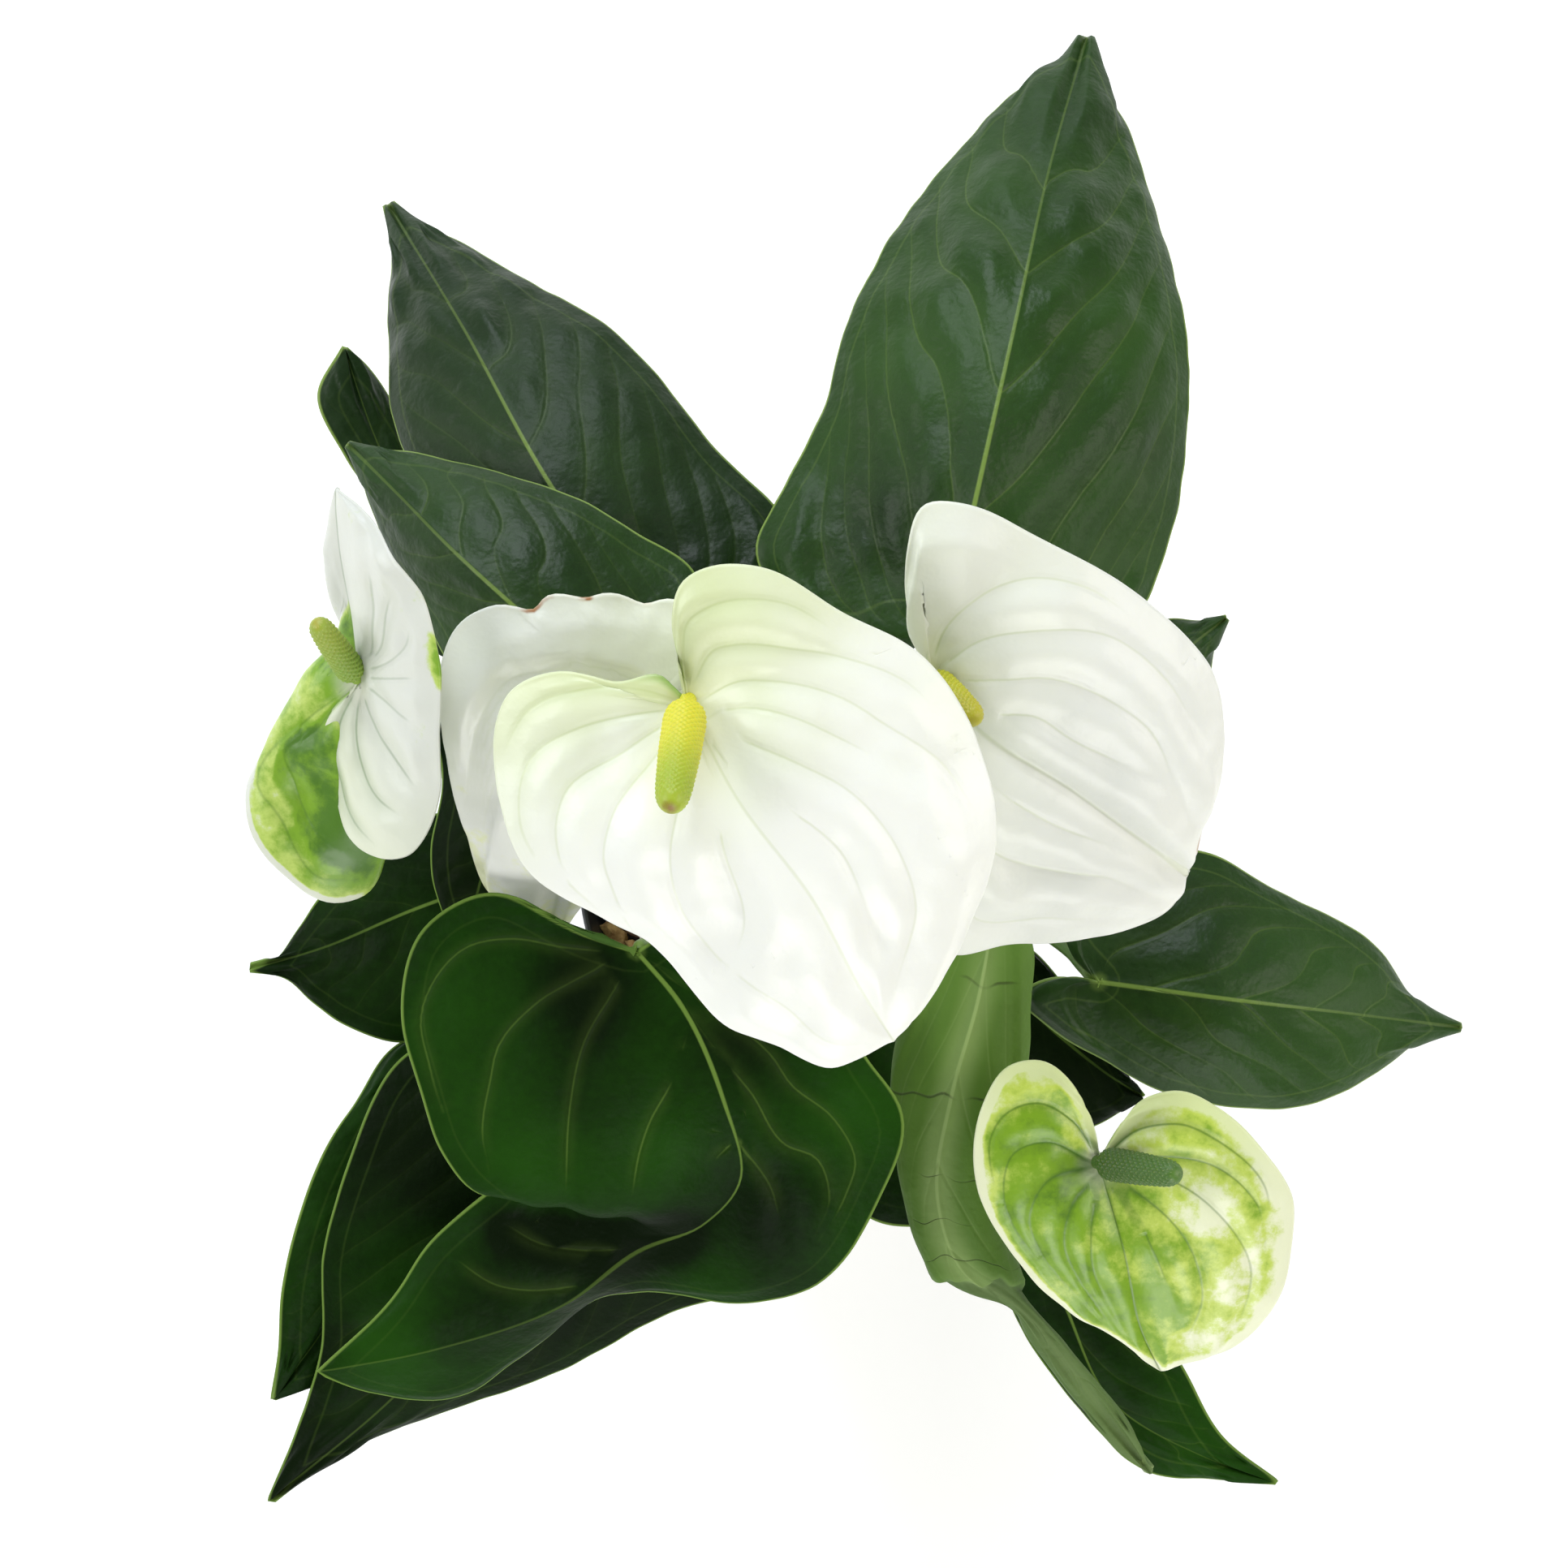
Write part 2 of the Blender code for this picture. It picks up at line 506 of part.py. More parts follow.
FLOWERS = {
    "flower_1": dict(
        joint=(-26, 20, 352),
        midrib=[(-15, -1, 355), (1, -22, 349), (11, -40, 338)],
        left=[(-29, 37, 362), (-27, 45, 364), (-21, 48, 365), (-11, 48, 365), (8, 38, 361),
              (23, 31, 356), (35, 16, 350), (41, -9, 342), (35, -28, 336), (28, -41, 332)],
        right=[(-32, 26, 356), (-40, 24, 354), (-54, 27, 351), (-65, 23, 346), (-69, 11, 342),
               (-66, -4, 339), (-61, -15, 337), (-45, -25, 335), (-35, -30, 333), (-26, -40, 330),
               (-17, -49, 327), (-6, -53, 325), (5, -58, 325)],
        tip=(19, -52, 327),
        foot=(-3, 5), via=((-3, 5, 220), (-4, 8, 325)),
        spadix=((-26, 20, 354), (-29, -5, 381), 4.7), paint=white_spathe, spike=yellow_spadix,
    ),
    "flower_2": dict(
        joint=(-41, 18, 310),
        midrib=[(-48, 4, 306), (-56, -12, 284)],
        left=[(-39, 28, 308), (-35, 36, 308), (-27, 38, 309), (-20, 32, 309), (-17, 21, 306),
              (-20, 8, 299), (-31, -3, 288), (-45, -10, 276), (-54, -18, 265)],
        right=[(-31, 27, 318), (-22, 34, 323), (-21, 42, 325), (-30, 46, 326), (-44, 47, 327),
               (-64, 46, 324), (-78, 41, 319), (-82, 30, 317), (-82, 20, 311), (-81, 8, 302),
               (-78, -4, 289), (-73, -16, 272), (-67, -22, 263)],
        tip=(-61, -26, 257),
        foot=(-10, -3),
        spadix=((-41, 18, 312), (-46, 3, 330), 4.0), paint=white_spathe, spike=yellow_spadix,
    ),
    "flower_3": dict(
        joint=(28, 29, 318),
        midrib=[(36, 19, 319), (61, 3, 312), (78, -8, 301)],
        left=[(25, 35, 322), (22, 43, 329), (22, 54, 337), (26, 65, 342), (33, 65, 342), (51, 58, 336),
              (76, 45, 325), (92, 29, 314), (94, 18, 309), (93, 6, 303), (90, -5, 296)],
        right=[(21, 18, 315), (18, 1, 306), (22, -19, 297), (34, -31, 290), (46, -29, 288),
               (59, -28, 287), (72, -25, 286), (83, -21, 286)],
        tip=(89, -14, 288),
        foot=(10, 2),
        spadix=((28, 29, 320), (37, 18, 338), 3.6), paint=white_spathe, spike=yellow_spadix,
    ),
    "flower_4": dict(
        joint=(68, -78, 262),
        midrib=[(74, -98, 258), (79, -117, 246)],
        left=[(72, -71, 267), (76, -65, 271), (86, -62, 274), (95, -66, 274), (106, -76, 269),
              (113, -87, 264), (113, -98, 258), (110, -110, 251), (103, -120, 244), (92, -125, 240)],
        right=[(65, -67, 268), (62, -61, 272), (54, -55, 274), (47, -56, 274), (41, -65, 272),
               (39, -75, 269), (40, -84, 265), (46, -96, 259), (54, -106, 254), (62, -113, 249),
               (75, -121, 243)],
        tip=(84, -127, 238),
        foot=(24, -36),
        spadix=((68, -78, 265), (85, -81, 285), 3.9), paint=green_spathe, spike=green_spadix,
    ),
    "flower_5": dict(
        joint=(-101, 30, 303),
        midrib=[(-102, 44, 311), (-104, 57, 318)],
        left=[(-99, 8, 283), (-98, -8, 272), (-101, -15, 270), (-110, -18, 272), (-121, -12, 276),
              (-129, -2, 280), (-130, 8, 281), (-122, 20, 284), (-111, 25, 289), (-103, 37, 297),
              (-107, 47, 302), (-108, 56, 308), (-107, 64, 317)],
        right=[(-108, 24, 300), (-112, 18, 296), (-111, 4, 292), (-106, -4, 293), (-98, -9, 297),
               (-90, -9, 303), (-83, 3, 315), (-82, 17, 325), (-82, 33, 335), (-84, 43, 338),
               (-91, 53, 339), (-96, 62, 334)],
        tip=(-105, 71, 325),
        foot=(-40, 6), via=((-62, 8, 130), (-108, 22, 240)),
        spadix=((-102, 31, 305), (-109, 41, 326), 3.4), paint=white_spathe, spike=green_spadix,
        fan=0.55,
    ),
}

# What a blade is shaped from. The rest of an entry belongs to its stalk and spike.
SHAPE = ("joint", "midrib", "left", "right", "tip", "fan", "bulge", "tucks")
holes = []
for name, leaf in LEAVES.items():
    green = young_leaf if name == "leaf_11" else leaf_green
    sheet = blade(name + "_blade", green, BLADE_T, **{k: leaf[k] for k in SHAPE if k in leaf})
    via = leaf.get("via")
    stalk(name + "_stalk", leaf_stalk, leaf["foot"], leaf["joint"], via, 2.5, 1.7, sheet)
    holes.append((*leaf["foot"], 2.5 + FIT_GAP))

for name, flower in FLOWERS.items():
    shape = {k: flower[k] for k in SHAPE if k in flower}
    sheet = blade(name + "_spathe", flower["paint"], SPATHE_T, **shape)
    via = flower.get("via")
    stalk(name + "_stalk", flower_stalk, flower["foot"], flower["joint"], via, 2.6, 2.0, sheet)
    spadix(name + "_spadix", flower["spike"], *flower["spadix"], sheet)
    holes.append((*flower["foot"], 2.6 + FIT_GAP))

# Soil: fills the pot to just under the rim, lumpy on top, with a blind hole for every stem
dice = random.Random(SEED)
profile_r = RIM_R - 3.4 - POT_WALL - 2.0
soil_sides = 40
verts, faces = [], []
levels = [0.0, 9.0, 18.0, 27.0, 36.0, 45.0, profile_r - FIT_GAP + 0.6]
previous = None
for r in levels:
    ring = []
    count = 1 if r == 0.0 else soil_sides
    for k in range(count):
        a = 2 * math.pi * k / soil_sides
        lump = dice.uniform(-1.6, 1.6) if r < 50 else 0.0
        ring.append(len(verts))
        verts.append((r * math.cos(a), r * math.sin(a), SOIL_TOP + lump))
    if previous is not None:
        for k in range(soil_sides):
            n = (k + 1) % soil_sides
            if len(previous) == 1:
                faces.append((previous[0], ring[k], ring[n]))
            else:
                faces += [(previous[k], ring[k], ring[n]), (previous[k], ring[n], previous[n])]
    previous = ring
floor = []
bottom_r = POT_BASE_R - POT_WALL - FIT_GAP - 0.4
for k in range(soil_sides):
    a = 2 * math.pi * k / soil_sides
    floor.append(len(verts))
    verts.append((bottom_r * math.cos(a), bottom_r * math.sin(a), FEET_LIFT + POT_WALL + FIT_GAP))
for k in range(soil_sides):
    n = (k + 1) % soil_sides
    faces += [(previous[k], floor[k], floor[n]), (previous[k], floor[n], previous[n])]
faces.append(tuple(floor)[::-1])
soil = mesh_object("soil", verts, faces, soil_bark, smooth=False)
cut(soil, rods("stem_rods", holes, HOLE_FLOOR, SOIL_TOP + 20.0, 12))

total = 0
for obj in bpy.data.objects:
    if not obj.hide_render:
        obj.data.calc_loop_triangles()
        total += len(obj.data.loop_triangles)
print("solids", len([o for o in bpy.data.objects if not o.hide_render]), "triangles before cuts", total)
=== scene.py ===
# %% [markdown]
# # A potted flamingo flower, dressed for its portrait
#
# A flamingo flower is an aroid: leathery heart-shaped leaves and waxy white spathes, each on its own long
# stalk, in a 12 cm nursery pot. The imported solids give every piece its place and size. This script grows
# a finer piece in the same place for each of them and gives it a finish.

# %% The frame
import math
import random

import bmesh
import bpy
import numpy as np
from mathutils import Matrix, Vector, noise


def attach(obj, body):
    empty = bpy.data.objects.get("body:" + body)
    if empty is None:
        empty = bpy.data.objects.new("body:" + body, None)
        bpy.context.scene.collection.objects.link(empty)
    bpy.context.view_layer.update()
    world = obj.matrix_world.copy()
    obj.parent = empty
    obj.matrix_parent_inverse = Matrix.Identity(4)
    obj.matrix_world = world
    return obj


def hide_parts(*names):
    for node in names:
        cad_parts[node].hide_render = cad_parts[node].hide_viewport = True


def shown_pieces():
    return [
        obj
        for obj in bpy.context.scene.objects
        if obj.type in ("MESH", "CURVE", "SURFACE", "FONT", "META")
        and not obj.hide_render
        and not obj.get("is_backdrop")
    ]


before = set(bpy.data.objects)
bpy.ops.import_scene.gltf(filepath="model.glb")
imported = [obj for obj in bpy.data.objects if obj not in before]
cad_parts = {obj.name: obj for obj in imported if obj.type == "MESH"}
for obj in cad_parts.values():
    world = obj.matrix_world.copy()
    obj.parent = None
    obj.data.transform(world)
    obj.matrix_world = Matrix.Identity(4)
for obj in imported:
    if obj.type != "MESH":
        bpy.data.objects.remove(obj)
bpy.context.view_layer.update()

MM = 0.001
print("solids in the frame:", len(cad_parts))

# %% [markdown]
# ## Helpers
#
# Colours are picked as sRGB hex values, the way a colour card gives them, and shaders work in linear
# light. One function adds a node, sets it and links it. A few more name the steps that every finish
# repeats, so that each material below reads as a list of steps. Patterns are sized in millimetres, as on
# the real thing.


# %% Colour and node helpers
def hexa(code):
    """An sRGB hex colour as linear RGBA."""
    rgb = [int(code[i:i + 2], 16) / 255 for i in (1, 3, 5)]
    return tuple(c / 12.92 if c <= 0.04045 else ((c + 0.055) / 1.055) ** 2.4 for c in rgb) + (1.0,)


def add(tree, kind, settings=None, inputs=None, out=0):
    """Adds a node: its properties, then values or sockets for its inputs. Gives back one output."""
    made = tree.nodes.new("ShaderNode" + kind)
    for key, value in (settings or {}).items():
        setattr(made, key, value)
    for key, value in (inputs or {}).items():
        socket = made.inputs[key]
        if isinstance(value, bpy.types.NodeSocket):
            tree.links.new(value, socket)
        else:
            socket.default_value = value
    return made.outputs[out]


def finish_named(name, roughness, **plain):
    """A new material with its Principled shader. Plain values go straight on the shader's sockets."""
    material = bpy.data.materials.new(name)
    material.use_nodes = True
    shader = material.node_tree.nodes["Principled BSDF"]
    shader.inputs["Roughness"].default_value = roughness
    for key, value in plain.items():
        shader.inputs[key.replace("_", " ")].default_value = value
    return material, material.node_tree, shader


# %% Steps that the finishes share
def maths(tree, operation, *values):
    """One sum on values or sockets."""
    return add(tree, "Math", {"operation": operation}, dict(enumerate(values)))


def ramp(tree, value, low, high, start=0.0, end=1.0, soft=True):
    """Turns low to high into start to end and holds the ends, softly unless it is asked straight."""
    settings = {"interpolation_type": "SMOOTHSTEP"} if soft else None
    return add(tree, "MapRange", settings, {0: value, 1: low, 2: high, 3: start, 4: end})


def mix(tree, share, base, over):
    """The base colour where the share is 0 and the other where it is 1. Each is a socket or a hex code."""
    base, over = (hexa(c) if isinstance(c, str) else c for c in (base, over))
    return add(tree, "Mix", {"data_type": "RGBA"}, {0: share, 6: base, 7: over}, out=2)


def lumps(tree, place, mm, detail=2.0, roughness=0.5):
    """Soft random lumps about that many mm wide, from 0 to 1."""
    return add(tree, "TexNoise", None,
               {"Vector": place, "Scale": 1000.0 / mm, "Detail": detail, "Roughness": roughness})


def facts_of(tree, *names):
    """The numbers that the mesh keeps under these names."""
    return {name: add(tree, "Attribute", {"attribute_name": name}, out=2) for name in names}


def bumped(tree, shader, height, strength, mm):
    """Fine relief in the shading, where a height of 1 stands for that many mm."""
    bump = add(tree, "Bump", None, {"Strength": strength, "Distance": mm * MM, "Height": height})
    tree.links.new(bump, shader.inputs["Normal"])


# %% A mesh piece
def piece(name, verts, faces, material, smooth=True, **facts):
    """A mesh object from points in mm, its normals facing out, with a number per point for each fact."""
    mesh = bpy.data.meshes.new(name)
    mesh.from_pydata((np.asarray(verts, float) * MM).tolist(), [], faces)
    for key, values in facts.items():
        mesh.attributes.new(key, "FLOAT", "POINT").data.foreach_set("value", np.asarray(values, np.float32))
    bm = bmesh.new()
    bm.from_mesh(mesh)
    bmesh.ops.recalc_face_normals(bm, faces=bm.faces)
    bm.to_mesh(mesh)
    bm.free()
    made = bpy.data.objects.new(name, mesh)
    bpy.context.collection.objects.link(made)
    mesh.materials.append(material)
    if smooth:
        mesh.shade_smooth()
    return made


def stand_for(made, node):
    """The piece rides on the plant's one body and stands in for its solid, which is hidden."""
    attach(made, "root")
    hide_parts(node)


print("helpers ready")

# %% [markdown]
# ## Smooth curves
#
# A leaf's midrib and margin are smooth lines through a few measured points. A path through the points,
# read by the share of its length, gives as many points as a piece needs. Smoothing it a little takes out
# the last kinks.


# %% A smooth path
def path(points):
    """A smooth curve through the points. It is read by the share of its length, 0 to 1."""
    p = np.array(points, float)
    s = np.concatenate([[0.0], np.cumsum(np.linalg.norm(np.diff(p, axis=0), axis=1))])
    s /= s[-1]
    slope = np.diff(p, axis=0) / np.diff(s)[:, None]
    m = np.empty_like(p)
    m[0], m[-1] = slope[0], slope[-1]
    before, after = np.diff(s)[:-1, None], np.diff(s)[1:, None]
    m[1:-1] = (slope[:-1] * after + slope[1:] * before) / (before + after)

    def at(u):
        u = np.clip(np.asarray(u, float), 0.0, 1.0)
        i = np.clip(np.searchsorted(s, u, side="right") - 1, 0, len(s) - 2)
        h = (s[i + 1] - s[i])[..., None]
        k = ((u - s[i]) / (s[i + 1] - s[i]))[..., None]
        a = (2 * k**3 - 3 * k**2 + 1) * p[i] + (k**3 - 2 * k**2 + k) * h * m[i]
        return a + (3 * k**2 - 2 * k**3) * p[i + 1] + (k**3 - k**2) * h * m[i + 1]

    return at


def smoothed(rows, times):
    """Each inner row moves half way to the middle of its neighbours, as often as asked."""
    rows = rows.copy()
    for _ in range(times):
        rows[1:-1] = (rows[:-2] + 2 * rows[1:-1] + rows[2:]) / 4
    return rows


def step(value, low, high):
    """0 below low, 1 above high, and a soft step between them."""
    k = np.clip((value - low) / (high - low), 0.0, 1.0)
    return k * k * (3 - 2 * k)


def unit(vectors):
    """The vectors at length 1."""
    return vectors / np.maximum(np.linalg.norm(vectors, axis=-1, keepdims=True), 1e-9)


def patch(points, x, y, radius):
    """1 over the place x, y and less around it, as seen from above. About a third is left at the radius."""
    return np.exp(-((points[:, 0] - x) ** 2 + (points[:, 1] - y) ** 2) / radius**2)


print("a path through 3 points is read half way:", path([(0, 0, 0), (5, 2, 0), (10, 0, 0)])(0.5).round(2))

# %% [markdown]
# ## Blades
#
# A leaf blade and a spathe are the same organ: a heart of thin tissue on a stalk, with a midrib, a few
# strong veins that fan out from the joint, more that leave the midrib, and one collective vein that runs
# inside the margin and gathers them. The tissue between two veins swells up like a quilt.
#
# A sculpted plane would lose the veins. Instead each half is a sheet of rays: every ray starts on the
# midrib and ends on the margin. Two numbers place a point: q, how far along the margin its ray ends, and
# t, how far out on the ray it lies. In these numbers a vein is a simple curve that leaves along a ray and
# then sweeps towards the tip, and the distance to it in millimetres is worked out and kept on each point
# for the shader to draw.

# %% Numbers for blades, in millimetres
ROWS = 112
CROSS = 28
LEAF_T = 0.6
SPATHE_T = 0.8
NEAR_MIDRIB = (0.0, 0.6, 1.3, 2.2)
NEAR_MARGIN = (0.0, 0.5, 1.2, 2.3)
LEAF_VEINS = (0.05, 0.15, 0.26, 0.37, 0.48, 0.58, 0.68, 0.78)
SPATHE_VEINS = (0.02, 0.10, 0.18, 0.26, 0.33, 0.39)
LEAF_SWEEP = (0.42, 0.95)
SPATHE_SWEEP = (0.85, 1.25)
COLLECTIVE = 0.9


# %% The sheet of rays
def rays(joint, midrib, left, right, tip, fan, bulge, arch, nicks, tucks):
    """The middle surface of both halves on a grid of q by t."""
    spine = path([joint] + midrib + [tip])
    q = np.linspace(0.0, 1.0, ROWS + 1)[1:] ** 0.92
    m = np.where(q <= fan, 0.0, (np.maximum(q - fan, 0.0) / (1.0 - fan)) ** 0.85)
    roots = spine(m)
    u = np.linspace(0.0, 1.0, CROSS + 1)
    halves = []
    for side, edge_points in ((-1.0, left), (1.0, right)):
        edge = path([joint] + edge_points + [tip])
        ray = edge(q) - roots
        length = np.maximum(np.linalg.norm(ray, axis=1)[:, None], 1e-3)
        along = unit(edge(np.minimum(q + 0.03, 1.0)) - edge(q - 0.03))
        out = unit(np.cross(ray, along)) * side
        t = np.repeat(u[None, :], ROWS, axis=0)
        for j, (near, far) in enumerate(zip(NEAR_MIDRIB, NEAR_MARGIN)):
            t[:, j] = np.minimum(u[j], near / length[:, 0])
            t[:, CROSS - j] = np.maximum(u[CROSS - j], 1.0 - far / length[:, 0])
        for half, place, width, depth in nicks:
            if half == side:
                t *= 1.0 - depth / length * np.exp(-(((q - place) / width) ** 4))[:, None]
        hump = (4.0 * t * (1.0 - t))[:, :, None]
        grid = roots[:, None, :] + ray[:, None, :] * t[:, :, None]
        grid += out[:, None, :] * length[:, None] * bulge * hump
        grid -= along[:, None, :] * length[:, None] * arch * hump
        for place, width, push in tucks if side > 0 else ():
            share = np.exp(-(((q - place) / width) ** 2))[:, None, None] * np.sqrt(np.maximum(hump, 0.0))
            grid += share * np.array(push)
        grid[:, 3:] = smoothed(grid[:, 3:], 3)
        halves.append((grid, t))
    return q, m, halves


# %% [markdown]
# The veins come in two ways. On most blades a rule places them: they leave at set shares of the margin,
# sweep towards the tip and stray a little. On the blades that are seen best they run through points given
# one by one. Both ways give the same facts, so one finish reads both.


# %% Veins by a rule
def sheet_veins(grid, t, q, labels, sweep, crisp, seed):
    """For a half: signed mm to the nearest vein, how clear it is, the swelling and the number of the cell."""
    stray = np.array([[noise.noise((3.5 * a, 2.5 * b, seed)) for b in row] for a, row in zip(q, t)])
    swept = sweep[0] * t ** sweep[1]
    origin = (q[:, None] + 0.05 * stray * step(q, 0.03, 0.3)[:, None] - swept) / (1.0 - swept)
    count = len(labels)
    ends = (labels[0] - 0.09, *labels, labels[-1] + 0.1)
    number = np.interp(origin, ends, (0.5, *range(1, count + 1), count + 0.5))
    by_q, by_t = np.gradient(grid, axis=0), np.gradient(grid, axis=1)
    e, f, g = (by_q**2).sum(2), (by_q * by_t).sum(2), (by_t**2).sum(2)
    area = np.maximum(e * g - f**2, 1e-9)
    a, b = np.gradient(number, axis=0), np.gradient(number, axis=1)
    pitch = 1.0 / np.sqrt(np.maximum((g * a * a - 2 * f * a * b + e * b * b) / area, 6e-4))
    pitch = smoothed(pitch, 3)
    vein = np.sin(math.pi * number) / math.pi * pitch
    clear = step(pitch, 0.25 * crisp, crisp) * (1.0 - 0.5 * t) * (0.8 + 0.6 * stray)
    clear *= (1.0 - step(t, COLLECTIVE - 0.08, COLLECTIVE + 0.06)) * (1.0 - step(q, 0.8, 0.97))[:, None]
    swell = np.abs(np.sin(math.pi * number)) ** 1.3 * np.minimum(pitch / 20.0, 1.0) ** 1.4
    swell *= step(t, 0.0, 0.25) * (1.0 - step(t, COLLECTIVE - 0.1, COLLECTIVE + 0.04))
    return vein, clear, swell, number


# %% Veins through given points
EYE = np.array((-5.2, -88.7, 1396.0))


def seen_level(points, height):
    """Where the sight line from the eye to each point passes a given height: x and y in mm."""
    points = np.asarray(points, float)
    k = (height - EYE[2]) / (points[..., 2] - EYE[2])
    return EYE[:2] + (points[..., :2] - EYE[:2]) * k[..., None]


def drawn_veins(grid, t, lines, midline, half, crisp):
    """The same facts as sheet_veins for veins given by points, listed from the sinus to the midrib."""
    joint = midline[0]
    flat = seen_level(grid, joint[2]).reshape(-1, 2)
    rows = np.arange(len(flat))
    signed, shown = [], []
    for line in [*lines, seen_level(midline, joint[2])]:
        ends = np.array(line, float)
        curve = path([(x, y, 0.0) for x, y in ends])(np.linspace(0.0, 1.0, 60))[:, :2]
        before = 0
        if np.linalg.norm(ends[0] - joint[:2]) > 9.0:
            curve = np.vstack([curve[0] - 12.0 * unit((curve[1] - curve[0])[None])[0], curve])
            before = 1
        curve = np.vstack([curve, curve[-1] + 8.0 * unit((curve[-1] - curve[-3])[None])[0]])
        run = np.diff(curve, axis=0)
        away = flat[:, None, :] - curve[None, :-1]
        k = np.clip((away * run).sum(2) / (run**2).sum(1), 0.0, 1.0)
        gap = np.linalg.norm(away - k[:, :, None] * run, axis=2)
        best = gap.argmin(1)
        turn = run[best, 0] * away[rows, best, 1] - run[best, 1] * away[rows, best, 0]
        signed.append(np.where(turn < 0, -1.0, 1.0) * (-1.0, 1.0)[half] * gap[rows, best])
        place = (best + k[rows, best] - before) / 59.0
        shown.append(step(place, 0.0, 0.06) * (1.0 - step(place, 0.8, 1.0)))
    shown[-1] = np.zeros(len(flat))
    signed, shown = np.array(signed), np.array(shown)
    near = np.abs(signed).argmin(0)
    here = signed[near, rows]
    other = np.clip(near + np.where(here > 0, 1, -1), 0, len(signed) - 1)
    beyond = np.where(other == near, 22.0, np.abs(signed[other, rows]))
    pitch = np.abs(here) + np.maximum(beyond, np.abs(here))
    number = near + 1.0 + here / np.maximum(pitch, 1e-3)
    vein = np.sin(math.pi * number) / math.pi * pitch
    clear = shown[near, rows] * step(pitch, 0.25 * crisp, crisp) * (1.0 - 0.35 * t.ravel())
    hub = np.linalg.norm(grid - joint, axis=2).ravel()
    swell = np.abs(np.sin(math.pi * number)) ** 1.1 * np.minimum(pitch / 14.0, 1.0) ** 1.2
    swell *= step(hub, 2.0, 14.0)
    swell *= (1.0 - step(t, COLLECTIVE - 0.1, COLLECTIVE + 0.04)).ravel()
    vein, clear, swell, number = (v.reshape(t.shape) for v in (vein, clear, swell, number))
    for axis in (0, 1):
        jump = np.abs(np.diff(number, axis=axis)) > 0.6
        first, last = [slice(None)] * 2, [slice(None)] * 2
        first[axis], last[axis] = slice(None, -1), slice(1, None)
        for part in (tuple(first), tuple(last)):
            clear[part] = np.where(jump, 0.0, clear[part])
    return vein, clear, smoothed(swell, 2), number


# %% [markdown]
# The sheet becomes a closed body: an upper face, an under face and a rounded margin between them. The
# upper face swells between the veins and the under face carries the midrib as a ridge, which is what
# stiffens a real leaf.


# %% From two halves to a closed body
def nearest(points, line):
    """The distance from each point to a line given by many points."""
    a, b = line[:-1], line[1:]
    best = np.full(len(points), 1e9)
    for start, end in zip(a, b):
        w = end - start
        k = np.clip((points - start) @ w / max(w @ w, 1e-9), 0.0, 1.0)
        best = np.minimum(best, np.linalg.norm(points - start - k[:, None] * w, axis=1))
    return best


def sewn(joint, m, halves, tables):
    """Both halves as one sheet. They share the midrib, and the last ray of each shrinks to the tip."""
    points, facts, index, quads = [np.array(joint, float)], [np.zeros(tables[0].shape[2])], [], []
    for half, (grid, _) in enumerate(halves):
        numbers = np.full((ROWS, CROSS + 1), -1)
        for i in range(ROWS):
            for j in range(CROSS + 1):
                if j == 0 and m[i] == 0.0:
                    numbers[i, j] = 0
                elif (j == 0 and half == 1) or (i == ROWS - 1 and j > 0):
                    numbers[i, j] = index[0][i, 0] if half == 1 else numbers[i, 0]
                else:
                    numbers[i, j] = len(points)
                    points.append(grid[i, j])
                    facts.append(tables[half][i, j])
        index.append(numbers)
        for i in range(ROWS - 1):
            for j in range(CROSS):
                quad = (numbers[i, j], numbers[i, j + 1], numbers[i + 1, j + 1], numbers[i + 1, j])
                quad = tuple(dict.fromkeys(int(v) for v in quad))
                if len(quad) > 2:
                    quads.append(quad if half == 1 else quad[::-1])
    return np.array(points), np.array(facts).T, index, quads


def point_normals(p, faces):
    """The sheet's normal at each point, on the side that mostly looks up."""
    corners = np.array([(f[0], f[1], f[2]) for f in faces])
    face_n = np.cross(p[corners[:, 1]] - p[corners[:, 0]], p[corners[:, 2]] - p[corners[:, 0]])
    n = np.zeros_like(p)
    for k in range(3):
        np.add.at(n, corners[:, k], face_n)
    n = unit(n)
    return -n if n[:, 2].sum() < 0 else n


def closed_body(p, n, around, quads, middle, thick, top_lift, under_lift):
    """The upper face, the under face and the lip that joins them around the margin."""
    top = p + n * (thick / 2 + top_lift)[:, None]
    under = p - n * (thick / 2 + under_lift)[:, None]
    tangent = unit(np.roll(p[around], -1, axis=0) - np.roll(p[around], 1, axis=0))
    outward = unit(np.cross(tangent, n[around]))
    outward *= np.sign((outward * (p[around] - middle)).sum())
    lip = p[around] + outward * thick * 0.5
    count, loops = len(p), len(around)
    faces = quads + [tuple(v + count for v in f[::-1]) for f in quads]
    for k in range(loops):
        a, b = int(around[k]), int(around[(k + 1) % loops])
        c, d = 2 * count + (k + 1) % loops, 2 * count + k
        faces += [(a, b, c, d), (d, c, b + count, a + count)]
    return np.concatenate([top, under, lip]), faces


def wander(p, across, along, far):
    """A random drift in mm that changes over the given lengths in x and y."""
    return np.array([noise.noise((v[0] / across, v[1] / along if along else 0.0, 0.0)) for v in p]) * far
